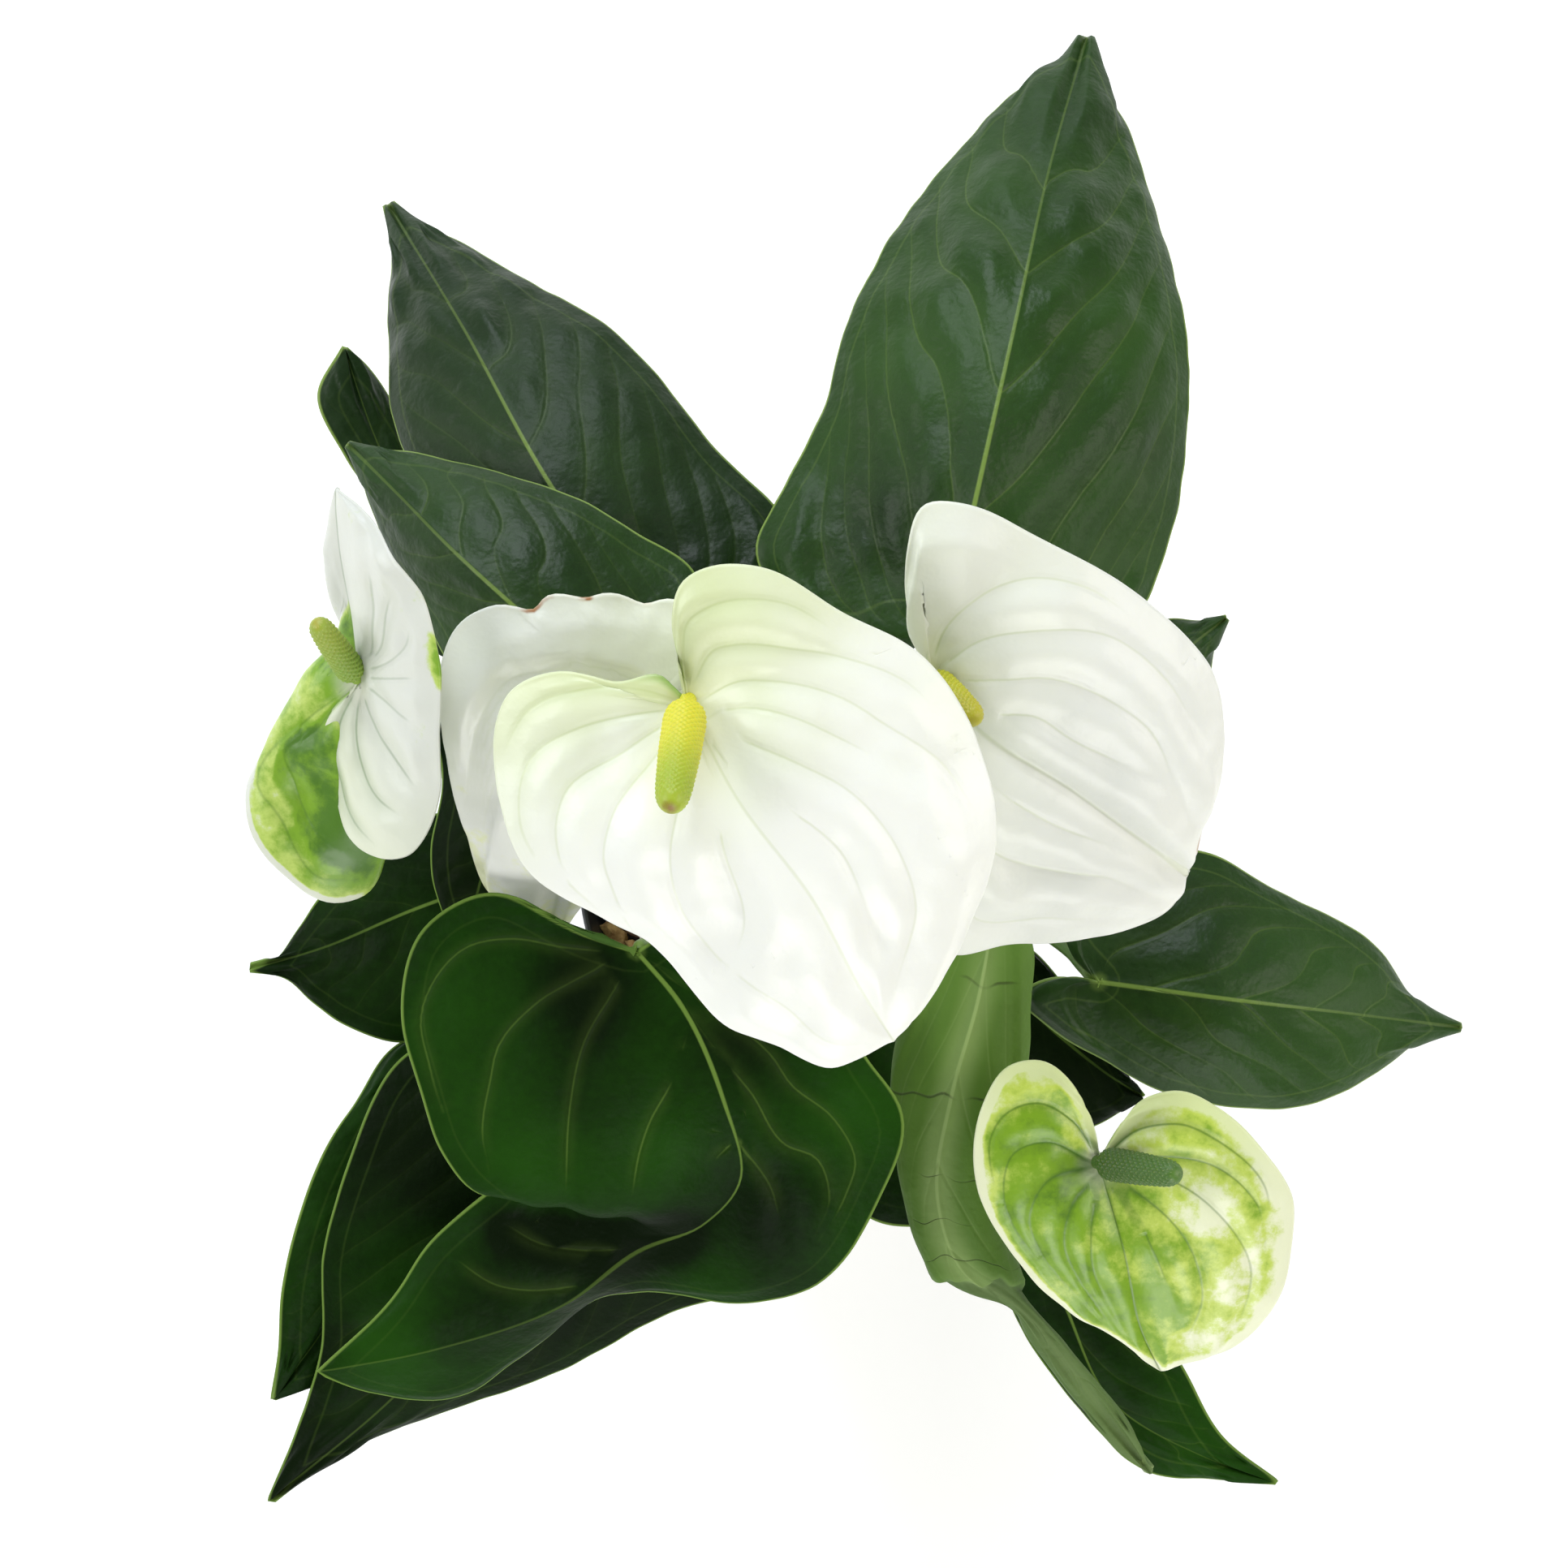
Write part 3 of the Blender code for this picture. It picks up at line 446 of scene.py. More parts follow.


# %% [markdown]
# A blade is told by its outline, its veins, its relief and its tissue, in this order. Nicks are notches
# in the margin: side, share along it, width and depth. Tucks push part of a half aside. Quilt is how far
# tissue swells between the veins, wave how far the margin ripples, fold how deep the midrib sinks. Dents
# are x, y, radius and depth. A ledge is a step down past a line, where an older part comes out from under
# a younger one. Cracks run across at set places. Fan is the share of the margin whose rays start at the
# joint, and bulge and arch are how far the rays bow. Shade is how fresh a leaf is, or how creamy a spathe
# is towards its joint, and tone patches change it in places; some of those patches are painted shadow.
# Mottle tells where a spathe is green, and on some spathes it also paints shade.


# %% A whole blade
def blade(name, material, thick, joint, midrib, left, right, tip,
          fan=0.42, bulge=0.06, arch=0.06, nicks=(), tucks=(),
          veins=LEAF_VEINS, sweep=LEAF_SWEEP, lines=None, crisp=7.0, faint=1.0,
          quilt=1.3, wave=0.7, fold=0.0, dents=(), ledge=None, cracks=(),
          shade=0.5, tones_and_shadows=(), mottle_and_shade=None, face_down=False):
    """One leaf blade or spathe as a closed body with the numbers that its finish reads."""
    q, m, halves = rays(joint, midrib, left, right, tip, fan, bulge, arch, nicks, tucks)
    tables = []
    for half, (grid, t) in enumerate(halves):
        if lines:
            midline = np.vstack([[joint], grid[m > 0, 0]])
            vein, clear, swell, cell = drawn_veins(grid, t, lines[half], midline, half, crisp)
        else:
            seed = len(name) + joint[0] + 3.0 * half
            vein, clear, swell, cell = sheet_veins(grid, t, q, veins, sweep, crisp, seed)
        scar = np.zeros(ROWS)
        for side, place, width, _ in nicks:
            if side == (-1.0, 1.0)[half]:
                scar += np.exp(-np.abs((q - place) / width) ** 3)
        columns = (vein, clear * faint, swell, q[:, None], t, float(half), scar[:, None], m[:, None], cell)
        tables.append(np.stack([np.broadcast_to(column, t.shape) for column in columns], axis=-1))
    p, facts, index, quads = sewn(joint, m, halves, tables)
    vein, clear, swell, reach, across, half, scar, low, cell = facts
    n = point_normals(p, quads)
    first, second = index
    around = [0, *first[0, 1:], *first[1:, CROSS], *second[1:-1, CROSS][::-1], *second[0, 1:][::-1]]
    around = np.array(around, int)
    mid = nearest(p, p[[0, *first[m > 0, 0]]])
    rim = nearest(p, p[np.append(around, 0)])
    size = np.linalg.norm(p[first[-1, 0]] - p[0])

    # relief of the sheet
    ripple = np.array([noise.noise(v / 17.0) for v in p]) * 0.6
    ripple += np.array([noise.noise(v / 7.0) for v in p]) * 0.22
    height = quilt * swell + ripple * quilt * step(mid, 0.5, 8.0)
    height += wave * across**3 * np.sin(2 * math.pi * (3.0 * reach + 0.37 * size)) * step(reach, 0.0, 0.2)
    height -= 0.35 * (1.0 - step(rim, 0.0, 2.6))
    height -= fold * np.exp(-((mid / 4.0) ** 1.5))
    spots_and_shade = np.full(len(p), -1.0)
    if ledge:
        spots_and_shade = step(-p[:, 1] + wander(p, 4.0, None, 3.0), ledge[0], ledge[0] + 1.2)
        height -= ledge[1] * spots_and_shade
    for x, y, radius, depth in dents:
        height -= depth * patch(p, x, y, radius)
    p = p + n * (height * step(np.linalg.norm(p - p[0], axis=1), 0.0, 12.0))[:, None]

    # thickness, with the midrib's ridge on the face that looks down
    taper = 1.0 - 0.8 * low
    ridge = 1.3 * taper * np.exp(-(mid / (0.5 + 0.7 * taper)) ** 2)
    ridge += 0.3 * np.exp(-(vein / 0.9) ** 2) * (1.0 - 0.7 * across) * step(mid, 0.0, 3.0)
    lifts = (ridge, ridge * 0.25) if face_down else (ridge * 0.25, ridge)
    verts, faces = closed_body(p, n, around, quads, p[first[ROWS // 2, 0]], thick, *lifts)

    # tissue
    count, loops = len(p), len(around)
    if mottle_and_shade:
        spots_and_shade = mottle_and_shade(p, half, reach, across, cell, rim)
    crack = np.full(count, 9.0)
    if cracks:
        down = p[:, 1] + 0.12 * (p[:, 0] - 35.0) + wander(p, 5.0, 30.0, 2.5)
        ends = (cracks[0] - 30.0, *cracks, cracks[-1] + 30.0)
        crack = np.sin(math.pi * np.interp(-down, ends, np.arange(-0.5, len(cracks) + 1.0))) * 4.0
    tone = np.full(count, float(shade))
    for x, y, radius, change in tones_and_shadows:
        tone += change * patch(p, x, y, radius)
    seen_up = 0.0 if face_down else 1.0
    upper = np.concatenate([np.full(count, seen_up), np.full(count, 1.0 - seen_up), np.full(loops, 0.5)])
    kept = dict(vein=vein, clear=clear, mid=mid, reach=reach, scar=scar, low=low, spots_and_shade=spots_and_shade, crack=crack,
                hub=np.linalg.norm(p - p[0], axis=1), shade=tone)
    kept = {key: np.concatenate([values, values, values[around]]) for key, values in kept.items()}
    rim = np.concatenate([rim, rim, np.zeros(loops)])
    ring = np.full(2 * count + loops, 0.2 if lines else faint)
    return piece(name, verts, faces, material, rim=rim, upper=upper, ring=ring, **kept)


# %% [markdown]
# ## Leaf finish
#
# A grown leaf of this plant is leathery, deep green and waxy above, paler and duller below. Its cuticle
# is a thin smooth wax film, so the gloss is soft and broad. The midrib, the veins and the margin carry
# little chlorophyll and show as lime lines that fade towards the tip. The leaves in front are the
# freshest and most saturated, the ones at the back have the dull cool gloss of older wax, and the young
# one shows its pale under side.
#
# A painted picture would blur up close. The lines are drawn from the distances kept on the mesh instead,
# so they stay as thin as the real ones, from 0.4 mm in the veins to about 1 mm in the midrib.


# %% The leaf finish
CRACKED_SKIN = "#2c3216"
OLDER_TISSUE = "#465a34"


def leaf_finish(name, deep, fresh, line, under, gloss, shine):
    """A waxy leaf, from hex codes of its darkest and freshest tissue, its veins and its under side."""
    material, tree, shader = finish_named(name, gloss, IOR=1.45, Specular_IOR_Level=shine)
    place = add(tree, "TexCoord", out=3)
    fact = facts_of(tree, "vein", "clear", "mid", "rim", "low", "upper", "shade", "crack", "hub", "ring",
                    "spots_and_shade")

    cloud = lumps(tree, place, 38.4615)
    fleck = lumps(tree, place, 2.38095, 3.0, 0.6)
    # Tone comes from the shade number and its patches. Some patches are painted shadow, so the tissue darkens
    # there and the veins dim with it.
    tone = maths(tree, "MULTIPLY_ADD", cloud, 1.0, fact["shade"])
    tone = maths(tree, "MULTIPLY_ADD", fleck, 0.3, tone)
    tone = ramp(tree, tone, 0.6, 1.75)
    tissue = mix(tree, tone, deep, fresh)

    off_vein = maths(tree, "ABSOLUTE", fact["vein"])
    halo = ramp(tree, off_vein, 0.0, 3.0, 0.08, 0.0)
    halo = maths(tree, "MULTIPLY", halo, fact["clear"])
    tissue = mix(tree, halo, tissue, line)
    thin = ramp(tree, off_vein, 0.04, 0.34, 0.34, 0.0)
    thin = maths(tree, "MULTIPLY", thin, fact["clear"])
    lit = ramp(tree, tone, 0.0, 0.6, 0.3, 1.0, soft=False)
    thin = maths(tree, "MULTIPLY", thin, lit)
    tissue = mix(tree, thin, tissue, line)
    inside = maths(tree, "SUBTRACT", fact["rim"], 5.0)
    inside = maths(tree, "ABSOLUTE", inside)
    gather = ramp(tree, inside, 0.04, 0.5, 0.22, 0.0)
    gather = maths(tree, "MULTIPLY", gather, fact["ring"])
    tissue = mix(tree, gather, tissue, line)

    half_width = ramp(tree, fact["low"], 0.0, 1.0, 0.55, 0.2, soft=False)
    ratio = maths(tree, "DIVIDE", fact["mid"], half_width)
    rib = ramp(tree, ratio, 0.5, 1.3, 1.0, 0.0)
    fade = ramp(tree, fact["low"], 0.1, 0.75, 0.8, 0.2)
    rib = maths(tree, "MULTIPLY", rib, fade)
    tissue = mix(tree, rib, tissue, line)
    joint = ramp(tree, fact["hub"], 0.8, 3.0, 0.35, 0.0)
    tissue = mix(tree, joint, tissue, line)
    border = ramp(tree, fact["rim"], 0.1, 0.65, 0.85, 0.0)
    tissue = mix(tree, border, tissue, line)

    streaks = ramp(tree, fact["mid"], 0.5, 6.0, 0.8, 0.0)
    streaks = maths(tree, "MULTIPLY", streaks, cloud)
    patchy = ramp(tree, cloud, 0.38, 0.62)
    pale = mix(tree, patchy, under, tissue)
    below = mix(tree, 0.3, under, pale)
    below = mix(tree, streaks, below, line)
    below = mix(tree, thin, below, line)
    below = mix(tree, rib, below, line)
    off_crack = maths(tree, "ABSOLUTE", fact["crack"])
    split = ramp(tree, off_crack, 0.03, 0.24, 0.65, 0.0)
    torn = lumps(tree, place, 13.3333, 1.0)
    torn = ramp(tree, torn, 0.44, 0.58)
    split = maths(tree, "MULTIPLY", split, torn)
    below = mix(tree, split, below, CRACKED_SKIN)
    older = maths(tree, "MULTIPLY", fact["spots_and_shade"], 0.6)
    below = mix(tree, older, below, OLDER_TISSUE)
    face = ramp(tree, fact["upper"], 0.3, 0.7)
    tree.links.new(mix(tree, face, below, tissue), shader.inputs["Base Color"])
    grain = ramp(tree, cloud, 0.3, 0.7, gloss - 0.05, gloss + 0.09, soft=False)
    dull = add(tree, "Mix", None, {0: face, 2: gloss + 0.24, 3: grain})
    tree.links.new(dull, shader.inputs["Roughness"])

    groove = ramp(tree, off_vein, 0.0, 1.0, -1.0, 0.0)
    groove = maths(tree, "MULTIPLY", groove, fact["clear"])
    puckers = lumps(tree, place, 8.33333, 3.0, 0.6)
    relief = maths(tree, "MULTIPLY_ADD", puckers, 1.8, groove)
    relief = maths(tree, "MULTIPLY_ADD", fleck, 0.35, relief)
    relief = maths(tree, "MULTIPLY_ADD", split, -0.8, relief)
    bumped(tree, shader, relief, 0.6, 0.7)
    return material


old_cuticle = leaf_finish("waxy_leaf_cuticle", "#182c11", "#2a4a16", "#809a48", "#54722f", 0.42, 0.25)
deep_cuticle = leaf_finish("fresh_leaf_cuticle", "#0c1807", "#1d430b", "#6f8c3e", "#42602a", 0.46, 0.04)
young_cuticle = leaf_finish("young_leaf_cuticle", "#25420f", "#496a1f", "#93aa68", "#5a7c2e", 0.42, 0.25)
print("leaf finishes:", old_cuticle.name, deep_cuticle.name, young_cuticle.name)

# %% [markdown]
# ## Leaves
#
# Fifteen leaves, each given by the points of its midrib and its margin in millimetres: x to the right, y
# away from the front, z up. Every margin runs from the joint round the lobe to the tip.

# %% The points of the leaves
SHAPE = ("joint", "midrib", "left", "right", "tip", "fan", "bulge", "tucks")
LEAVES = {
    "leaf_01": dict(
        joint=(32, 43, 268),
        midrib=[(39, 74, 276), (49, 118, 268), (59, 162, 242)],
        left=[(23, 49, 266), (13, 47, 262), (-6, 54, 258), (-12, 65, 256), (-6, 81, 254), (3, 99, 251),
              (15, 134, 244), (31, 162, 231), (55, 187, 219), (65, 194, 214)],
        right=[(45, 32, 264), (64, 37, 256), (81, 55, 250), (91, 90, 248), (91, 126, 242),
               (85, 156, 230), (76, 184, 218)],
        tip=(70, 201, 212),
        foot=(12, 18),
    ),
    "leaf_02": dict(
        joint=(-39, 53, 238),
        midrib=[(-59, 81, 240), (-84, 127, 216)],
        left=[(-49, 41, 236), (-69, 50, 229), (-87, 71, 220), (-99, 98, 211), (-105, 130, 197),
              (-104, 156, 184)],
        right=[(-29, 44, 236), (-11, 55, 232), (-4, 73, 230), (-22, 96, 226), (-41, 120, 219),
               (-71, 143, 204), (-88, 154, 191), (-100, 161, 182)],
        tip=(-106, 166, 178),
        foot=(-12, 22),
    ),
    "leaf_03": dict(
        joint=(-44, 31, 256),
        midrib=[(-67, 51, 262), (-83, 66, 257), (-97, 81, 246)],
        left=[(-52, 22, 253), (-70, 27, 248), (-84, 39, 243), (-90, 51, 240), (-100, 67, 236),
              (-107, 87, 233)],
        right=[(-34, 34, 254), (-24, 47, 252), (-27, 63, 250), (-41, 72, 250), (-57, 81, 249),
               (-72, 87, 246), (-88, 91, 240), (-102, 94, 235)],
        tip=(-111, 96, 232),
        foot=(-20, 10),
    ),
    "leaf_04": dict(
        joint=(-82, 50, 188),
        midrib=[(-94, 76, 186), (-108, 104, 187)],
        left=[(-92, 50, 184), (-102, 66, 184), (-109, 89, 187), (-115, 99, 189), (-122, 115, 192)],
        right=[(-74, 52, 184), (-76, 66, 181), (-86, 84, 180), (-97, 101, 181), (-103, 113, 184),
               (-110, 123, 188)],
        tip=(-116, 127, 191),
        foot=(-30, 18),
    ),
    "leaf_05": dict(
        joint=(56, 14, 240),
        midrib=[(74, 28, 242), (90, 44, 236)],
        left=[(54, 24, 239), (60, 38, 238), (72, 47, 236), (88, 53, 232)],
        right=[(62, 6, 238), (76, 6, 234), (90, 20, 230), (98, 40, 228)],
        tip=(102, 54, 228),
        foot=(26, 12),
    ),
    "leaf_06": dict(
        joint=(71, -34, 222),
        midrib=[(99, -38, 226), (130, -41, 213)],
        left=[(64, -26, 222), (61, -13, 221), (75, -3, 219), (96, -2, 216), (114, -10, 211),
              (141, -25, 202), (154, -39, 195)],
        right=[(60, -33, 221), (52, -37, 218), (60, -46, 215), (75, -54, 211), (90, -61, 209),
               (115, -65, 205), (140, -56, 198), (153, -48, 194)],
        tip=(163, -44, 192),
        foot=(30, -8), via=((34, -8, 150), (56, -12, 200)),
    ),
    "leaf_07": dict(
        joint=(-72, -8, 218),
        midrib=[(-95, -16, 216), (-118, -25, 208)],
        left=[(-70, -22, 214), (-80, -42, 208), (-99, -48, 204), (-112, -44, 203), (-122, -38, 203),
              (-129, -32, 202)],
        right=[(-76, 4, 218), (-92, 7, 216), (-108, -2, 213), (-119, -13, 208), (-126, -21, 204),
               (-131, -28, 202)],
        tip=(-137, -30, 200),
        foot=(-30, -2),
    ),
    "leaf_08": dict(
        joint=(-39, -30, 285),
        midrib=[(-29, -42, 285), (-19, -64, 281), (-15, -81, 270), (-24, -92, 257), (-40, -99, 246),
                (-57, -111, 236), (-88, -122, 225)],
        left=[(-29, -25, 288), (-12, -27, 287), (3, -37, 283), (14, -55, 278), (22, -66, 275),
              (17, -86, 267), (1, -108, 254), (-14, -111, 246), (-37, -108, 236), (-51, -111, 226),
              (-68, -125, 216), (-86, -135, 210), (-102, -134, 210)],
        right=[(-50, -27, 287), (-73, -17, 289), (-88, -25, 285), (-93, -44, 280), (-89, -61, 276),
               (-84, -77, 272), (-76, -86, 268), (-66, -84, 260), (-66, -75, 252), (-73, -83, 244),
               (-82, -90, 238), (-90, -97, 233), (-99, -110, 226)],
        tip=(-118, -128, 215),
        foot=(-16, -10), fan=0.34, bulge=0.03,
        tucks=[(0.57, 0.04, (0, 1, 3)), (0.65, 0.04, (0, 6, -5))],
    ),
    "leaf_09": dict(
        joint=(-46, -56, 220),
        midrib=[(-68, -90, 214), (-95, -128, 192)],
        left=[(-34, -52, 217), (-16, -62, 212), (-6, -82, 206), (-8, -106, 200), (-29, -113, 195),
              (-59, -128, 185), (-88, -138, 178), (-108, -147, 173), (-128, -157, 168)],
        right=[(-58, -46, 222), (-78, -44, 222), (-96, -51, 221), (-111, -78, 214), (-118, -100, 204),
               (-119, -122, 191), (-127, -144, 177)],
        tip=(-135, -162, 165),
        foot=(-22, -24),
    ),
    "leaf_10": dict(
        joint=(-84, -52, 200),
        midrib=[(-100, -84, 196), (-118, -116, 184)],
        left=[(-76, -54, 196), (-74, -68, 190), (-80, -86, 184), (-92, -106, 178), (-108, -123, 175),
              (-124, -134, 176)],
        right=[(-90, -46, 197), (-100, -48, 197), (-113, -66, 199), (-123, -86, 197),
               (-129, -108, 190), (-131, -127, 182)],
        tip=(-133, -136, 177),
        foot=(-34, -20),
    ),
    "leaf_11": dict(
        joint=(44, -18, 262),
        midrib=[(40, -40, 263), (34, -62, 260), (31, -86, 250), (37, -103, 241), (50, -112, 231),
                (68, -133, 211)],
        left=[(50, -24, 257), (52, -49, 250), (50, -72, 243), (50, -98, 235), (54, -109, 227),
              (60, -116, 222), (70, -126, 213), (81, -141, 201)],
        right=[(34, -19, 258), (26, -27, 254), (21, -52, 250), (22, -81, 243), (26, -97, 238),
               (31, -107, 235), (39, -110, 232), (46, -111, 228), (52, -121, 219), (60, -133, 208),
               (70, -143, 200), (78, -150, 195)],
        tip=(86, -155, 190),
        foot=(16, -6), fan=0.12, bulge=0.22,
    ),
    "leaf_12": dict(
        joint=(54, -88, 198),
        midrib=[(64, -112, 192), (76, -136, 181), (99, -150, 172)],
        left=[(64, -82, 197), (76, -96, 193), (87, -114, 187), (94, -128, 182), (104, -145, 173)],
        right=[(44, -90, 194), (49, -108, 188), (59, -126, 182), (74, -145, 175), (88, -155, 171),
               (101, -157, 168)],
        tip=(119, -157, 165),
        foot=(12, -30),
    ),
    "leaf_13": dict(
        joint=(46, -30, 202),
        midrib=[(60, -44, 200), (74, -55, 193)],
        left=[(54, -24, 199), (63, -33, 197), (73, -45, 192), (80, -54, 189)],
        right=[(38, -36, 199), (43, -50, 195), (53, -61, 192), (64, -69, 189), (74, -68, 187)],
        tip=(84, -61, 186),
        foot=(24, -22),
    ),
    "leaf_14": dict(
        joint=(8, -46, 212),
        midrib=[(20, -62, 211), (32, -78, 206)],
        left=[(14, -42, 210), (26, -48, 208), (36, -62, 206), (40, -78, 204)],
        right=[(2, -52, 210), (1, -68, 208), (6, -82, 206), (16, -91, 205), (28, -93, 203),
               (36, -92, 202)],
        tip=(41, -88, 202),
        foot=(2, -20),
    ),
    "leaf_15": dict(
        joint=(-62, 22, 238),
        midrib=[(-72, 4, 238), (-79, -14, 232)],
        left=[(-53, 29, 237), (-50, 14, 236), (-54, -4, 234), (-64, -18, 230)],
        right=[(-70, 35, 236), (-88, 36, 230), (-88, 14, 232), (-90, -4, 230), (-88, -18, 227)],
        tip=(-81, -30, 224),
        foot=(-28, 8),
    ),
}

# %% [markdown]
# On the blades that are seen best the main veins follow the real ones. Each is a line of points from near
# the joint towards the margin, in millimetres as seen from the viewpoint at the height of the joint. The
# first list is for the left-hand half looking from the joint to the tip, the second for the right-hand
# half.

# %% The veins drawn one by one
VEINS = {
    "leaf_08": ([
        [(-36, -32), (-25, -41), (-16, -47), (-8, -54), (-4, -60), (6, -68), (11, -78), (9, -85), (1, -99)],
        [(-37, -32), (-29, -42), (-18, -56), (-13, -62), (-5, -74), (2, -77), (5, -87), (1, -96)],
        [(-21, -59), (-15, -74), (-11, -79), (-8, -84), (-6, -91)],
    ], [
        [(-46, -30), (-56, -29), (-67, -27), (-78, -29), (-86, -38), (-88, -43), (-86, -57), (-83, -69)],
        [(-43, -31), (-50, -35), (-62, -42), (-71, -53), (-72, -58), (-74, -72), (-72, -82)],
        [(-40, -31), (-43, -37), (-51, -51), (-54, -65), (-55, -86)],
        [(-27, -48), (-30, -58), (-36, -69), (-38, -75), (-40, -86)],
        [(-16, -73), (-20, -76), (-24, -84)],
        [(-42, -98), (-51, -98), (-62, -96), (-69, -92)],
        [(-52, -106), (-63, -107), (-70, -106), (-80, -100)],
    ]),
    "flower_1": ([
        [(-26, 23), (-27, 32), (-26, 38), (-22, 41), (-14, 43), (-5, 42), (6, 36)],
        [(-25, 24), (-20, 32), (-16, 33), (-2, 32), (8, 30), (22, 24), (27, 19)],
        [(-24, 20), (-15, 25), (-8, 25), (8, 21), (16, 16), (30, 6), (37, -5)],
        [(-23, 18), (-11, 19), (-3, 17), (6, 13), (14, 9)],
        [(-22, 16), (-16, 13), (-2, 7), (9, 1), (19, -11), (23, -23), (18, -43)],
        [(-22, 13), (-17, 7), (-5, -2), (7, -12), (13, -25)],
    ], [
        [(-28, 21), (-35, 23), (-50, 23), (-60, 19), (-67, 8)],
        [(-29, 19), (-42, 17), (-49, 15), (-60, 8), (-62, -5), (-57, -17)],
        [(-27, 18), (-39, 10), (-52, 1), (-54, -6), (-52, -17), (-42, -27)],
        [(-27, 16), (-34, 7), (-42, -4), (-44, -13), (-40, -24), (-35, -33)],
        [(-26, 16), (-27, 4), (-29, -19), (-23, -31), (-5, -45), (6, -53), (15, -53)],
        [(-25, 16), (-21, 4), (-18, -12), (-14, -29), (-16, -35)],
    ]),
    "flower_3": ([
        [(28, 33), (31, 41), (40, 49), (50, 52), (62, 50), (73, 43)],
        [(29, 31), (39, 38), (50, 40), (67, 39), (80, 29), (87, 18)],
        [(30, 29), (43, 29), (55, 29), (68, 24), (76, 18), (82, 5)],
        [(32, 26), (39, 22), (52, 20), (58, 16), (73, 9)],
    ], [
        [(28, 27), (30, 8), (32, -10), (37, -24), (55, -24), (66, -24)],
        [(29, 27), (33, 12), (43, -11), (55, -14), (66, -15), (74, -18)],
        [(30, 27), (36, 17), (43, 4), (52, -2), (69, -9)],
    ]),
    "flower_4": ([
        [(70, -76), (76, -71), (87, -69), (98, -74), (107, -84), (108, -91)],
        [(71, -77), (84, -76), (96, -79), (105, -88), (107, -102)],
        [(71, -79), (85, -82), (97, -91), (103, -101), (100, -117)],
        [(71, -81), (80, -87), (89, -97), (92, -109), (88, -120)],
        [(71, -83), (76, -89), (82, -101), (84, -106)],
    ], [
        [(67, -74), (62, -68), (54, -64), (46, -67), (43, -72), (44, -85)],
        [(66, -78), (56, -73), (48, -76), (46, -85), (51, -97), (55, -102)],
        [(66, -79), (56, -82), (52, -90), (56, -101), (64, -110)],
        [(68, -81), (62, -87), (60, -97), (64, -106), (71, -116)],
        [(68, -82), (66, -94), (67, -104), (70, -110)],
    ]),
    "flower_5": ([
        [(-104, 28), (-114, 21), (-122, 14), (-125, 8), (-119, -3), (-110, -14), (-99, -14)],
        [(-104, 28), (-113, 18), (-119, 15), (-118, 7), (-111, -5), (-102, -10)],
        [(-102, 35), (-102, 42), (-105, 50)],
        [(-101, 37), (-102, 44), (-102, 57)],
    ], [
        [(-102, 28), (-106, 20), (-108, 10), (-104, -1), (-97, -7)],
        [(-101, 27), (-102, 17), (-98, 5), (-91, 0)],
        [(-100, 27), (-98, 22), (-93, 13), (-88, 6)],
        [(-99, 29), (-94, 25), (-89, 21)],
        [(-99, 31), (-94, 31), (-89, 31)],
        [(-99, 33), (-96, 34), (-91, 38), (-90, 42)],
        [(-99, 35), (-97, 37), (-95, 46), (-94, 50)],
        [(-99, 35), (-98, 43), (-99, 56)],
    ]),
}

# %% [markdown]
# Leaves differ in age and place, and each gets its own shade, quilt and tone patches, some of which are
# painted shadow. Faint is how clearly its veins show: old wax hides them, and in deep shade they hardly
# show. The young leaf turns its under side up. It has cracked across, and its end comes out from a step.

# %% Grow the leaves
AT_BACK = ("leaf_01", "leaf_02", "leaf_03", "leaf_04", "leaf_05", "leaf_06")
LEAF_DETAILS = {
    "leaf_01": dict(shade=0.6, faint=0.5, quilt=2.6,
                    tones_and_shadows=[(40, 120, 22, 0.25), (20, 70, 18, -0.3), (80, 120, 18, 0.2), (60, 180, 18, -0.2)]),
    "leaf_02": dict(shade=0.15, faint=0.4, quilt=1.8),
    "leaf_03": dict(shade=0.45, faint=0.4),
    "leaf_04": dict(shade=0.1, faint=0.3),
    "leaf_05": dict(shade=0.5, faint=0.3),
    "leaf_06": dict(shade=0.6, faint=0.5,
                    tones_and_shadows=[(88, -14, 20, -0.2), (100, -58, 18, 0.4), (130, -45, 16, 0.2),
                           (60, -40, 14, -0.2)]),
    "leaf_07": dict(shade=0.35, faint=0.2),
    # The row of strong dark patches along y -94 to -97 is painted shadow under the fold.
    "leaf_08": dict(shade=0.55, faint=0.9, crisp=1.4,
                    tones_and_shadows=[(-50, -40, 13, -0.6), (-50, -62, 12, -0.3), (-88, -50, 12, 0.2),
                           (-66, -78, 9, 0.3), (-32, -76, 9, 0.3), (-16, -52, 12, -0.4),
                           (15, -64, 12, 0.3), (-7, -92, 14, -0.4),
                           (12, -96, 10, 0.2), (-70, -94, 5, -1.0), (-60, -96, 5, -1.2), (-50, -97, 5, -1.2),
                           (-40, -97, 5, -1.2), (-30, -95, 6, -1.0), (-76, -112, 16, -0.3),
                           (-48, -106, 14, -0.4), (-100, -124, 10, 0.3)]),
    "leaf_09": dict(shade=0.1, faint=0.3, tones_and_shadows=[(-100, -110, 16, 0.5)]),
    "leaf_10": dict(shade=0.45, faint=0.3),
    "leaf_11": dict(faint=0.6, face_down=True, cracks=(50.6, 75.0, 87.7, 96.0, 105.6), ledge=(106.0, 2.2)),
    "leaf_12": dict(shade=0.55, faint=0.45, tones_and_shadows=[(66, -110, 14, -0.4), (99, -150, 14, 0.35)]),
    "leaf_13": dict(shade=0.0, faint=0.12),
    "leaf_14": dict(shade=0.3, faint=0.12),
    "leaf_15": dict(shade=0.1, faint=0.3),
}
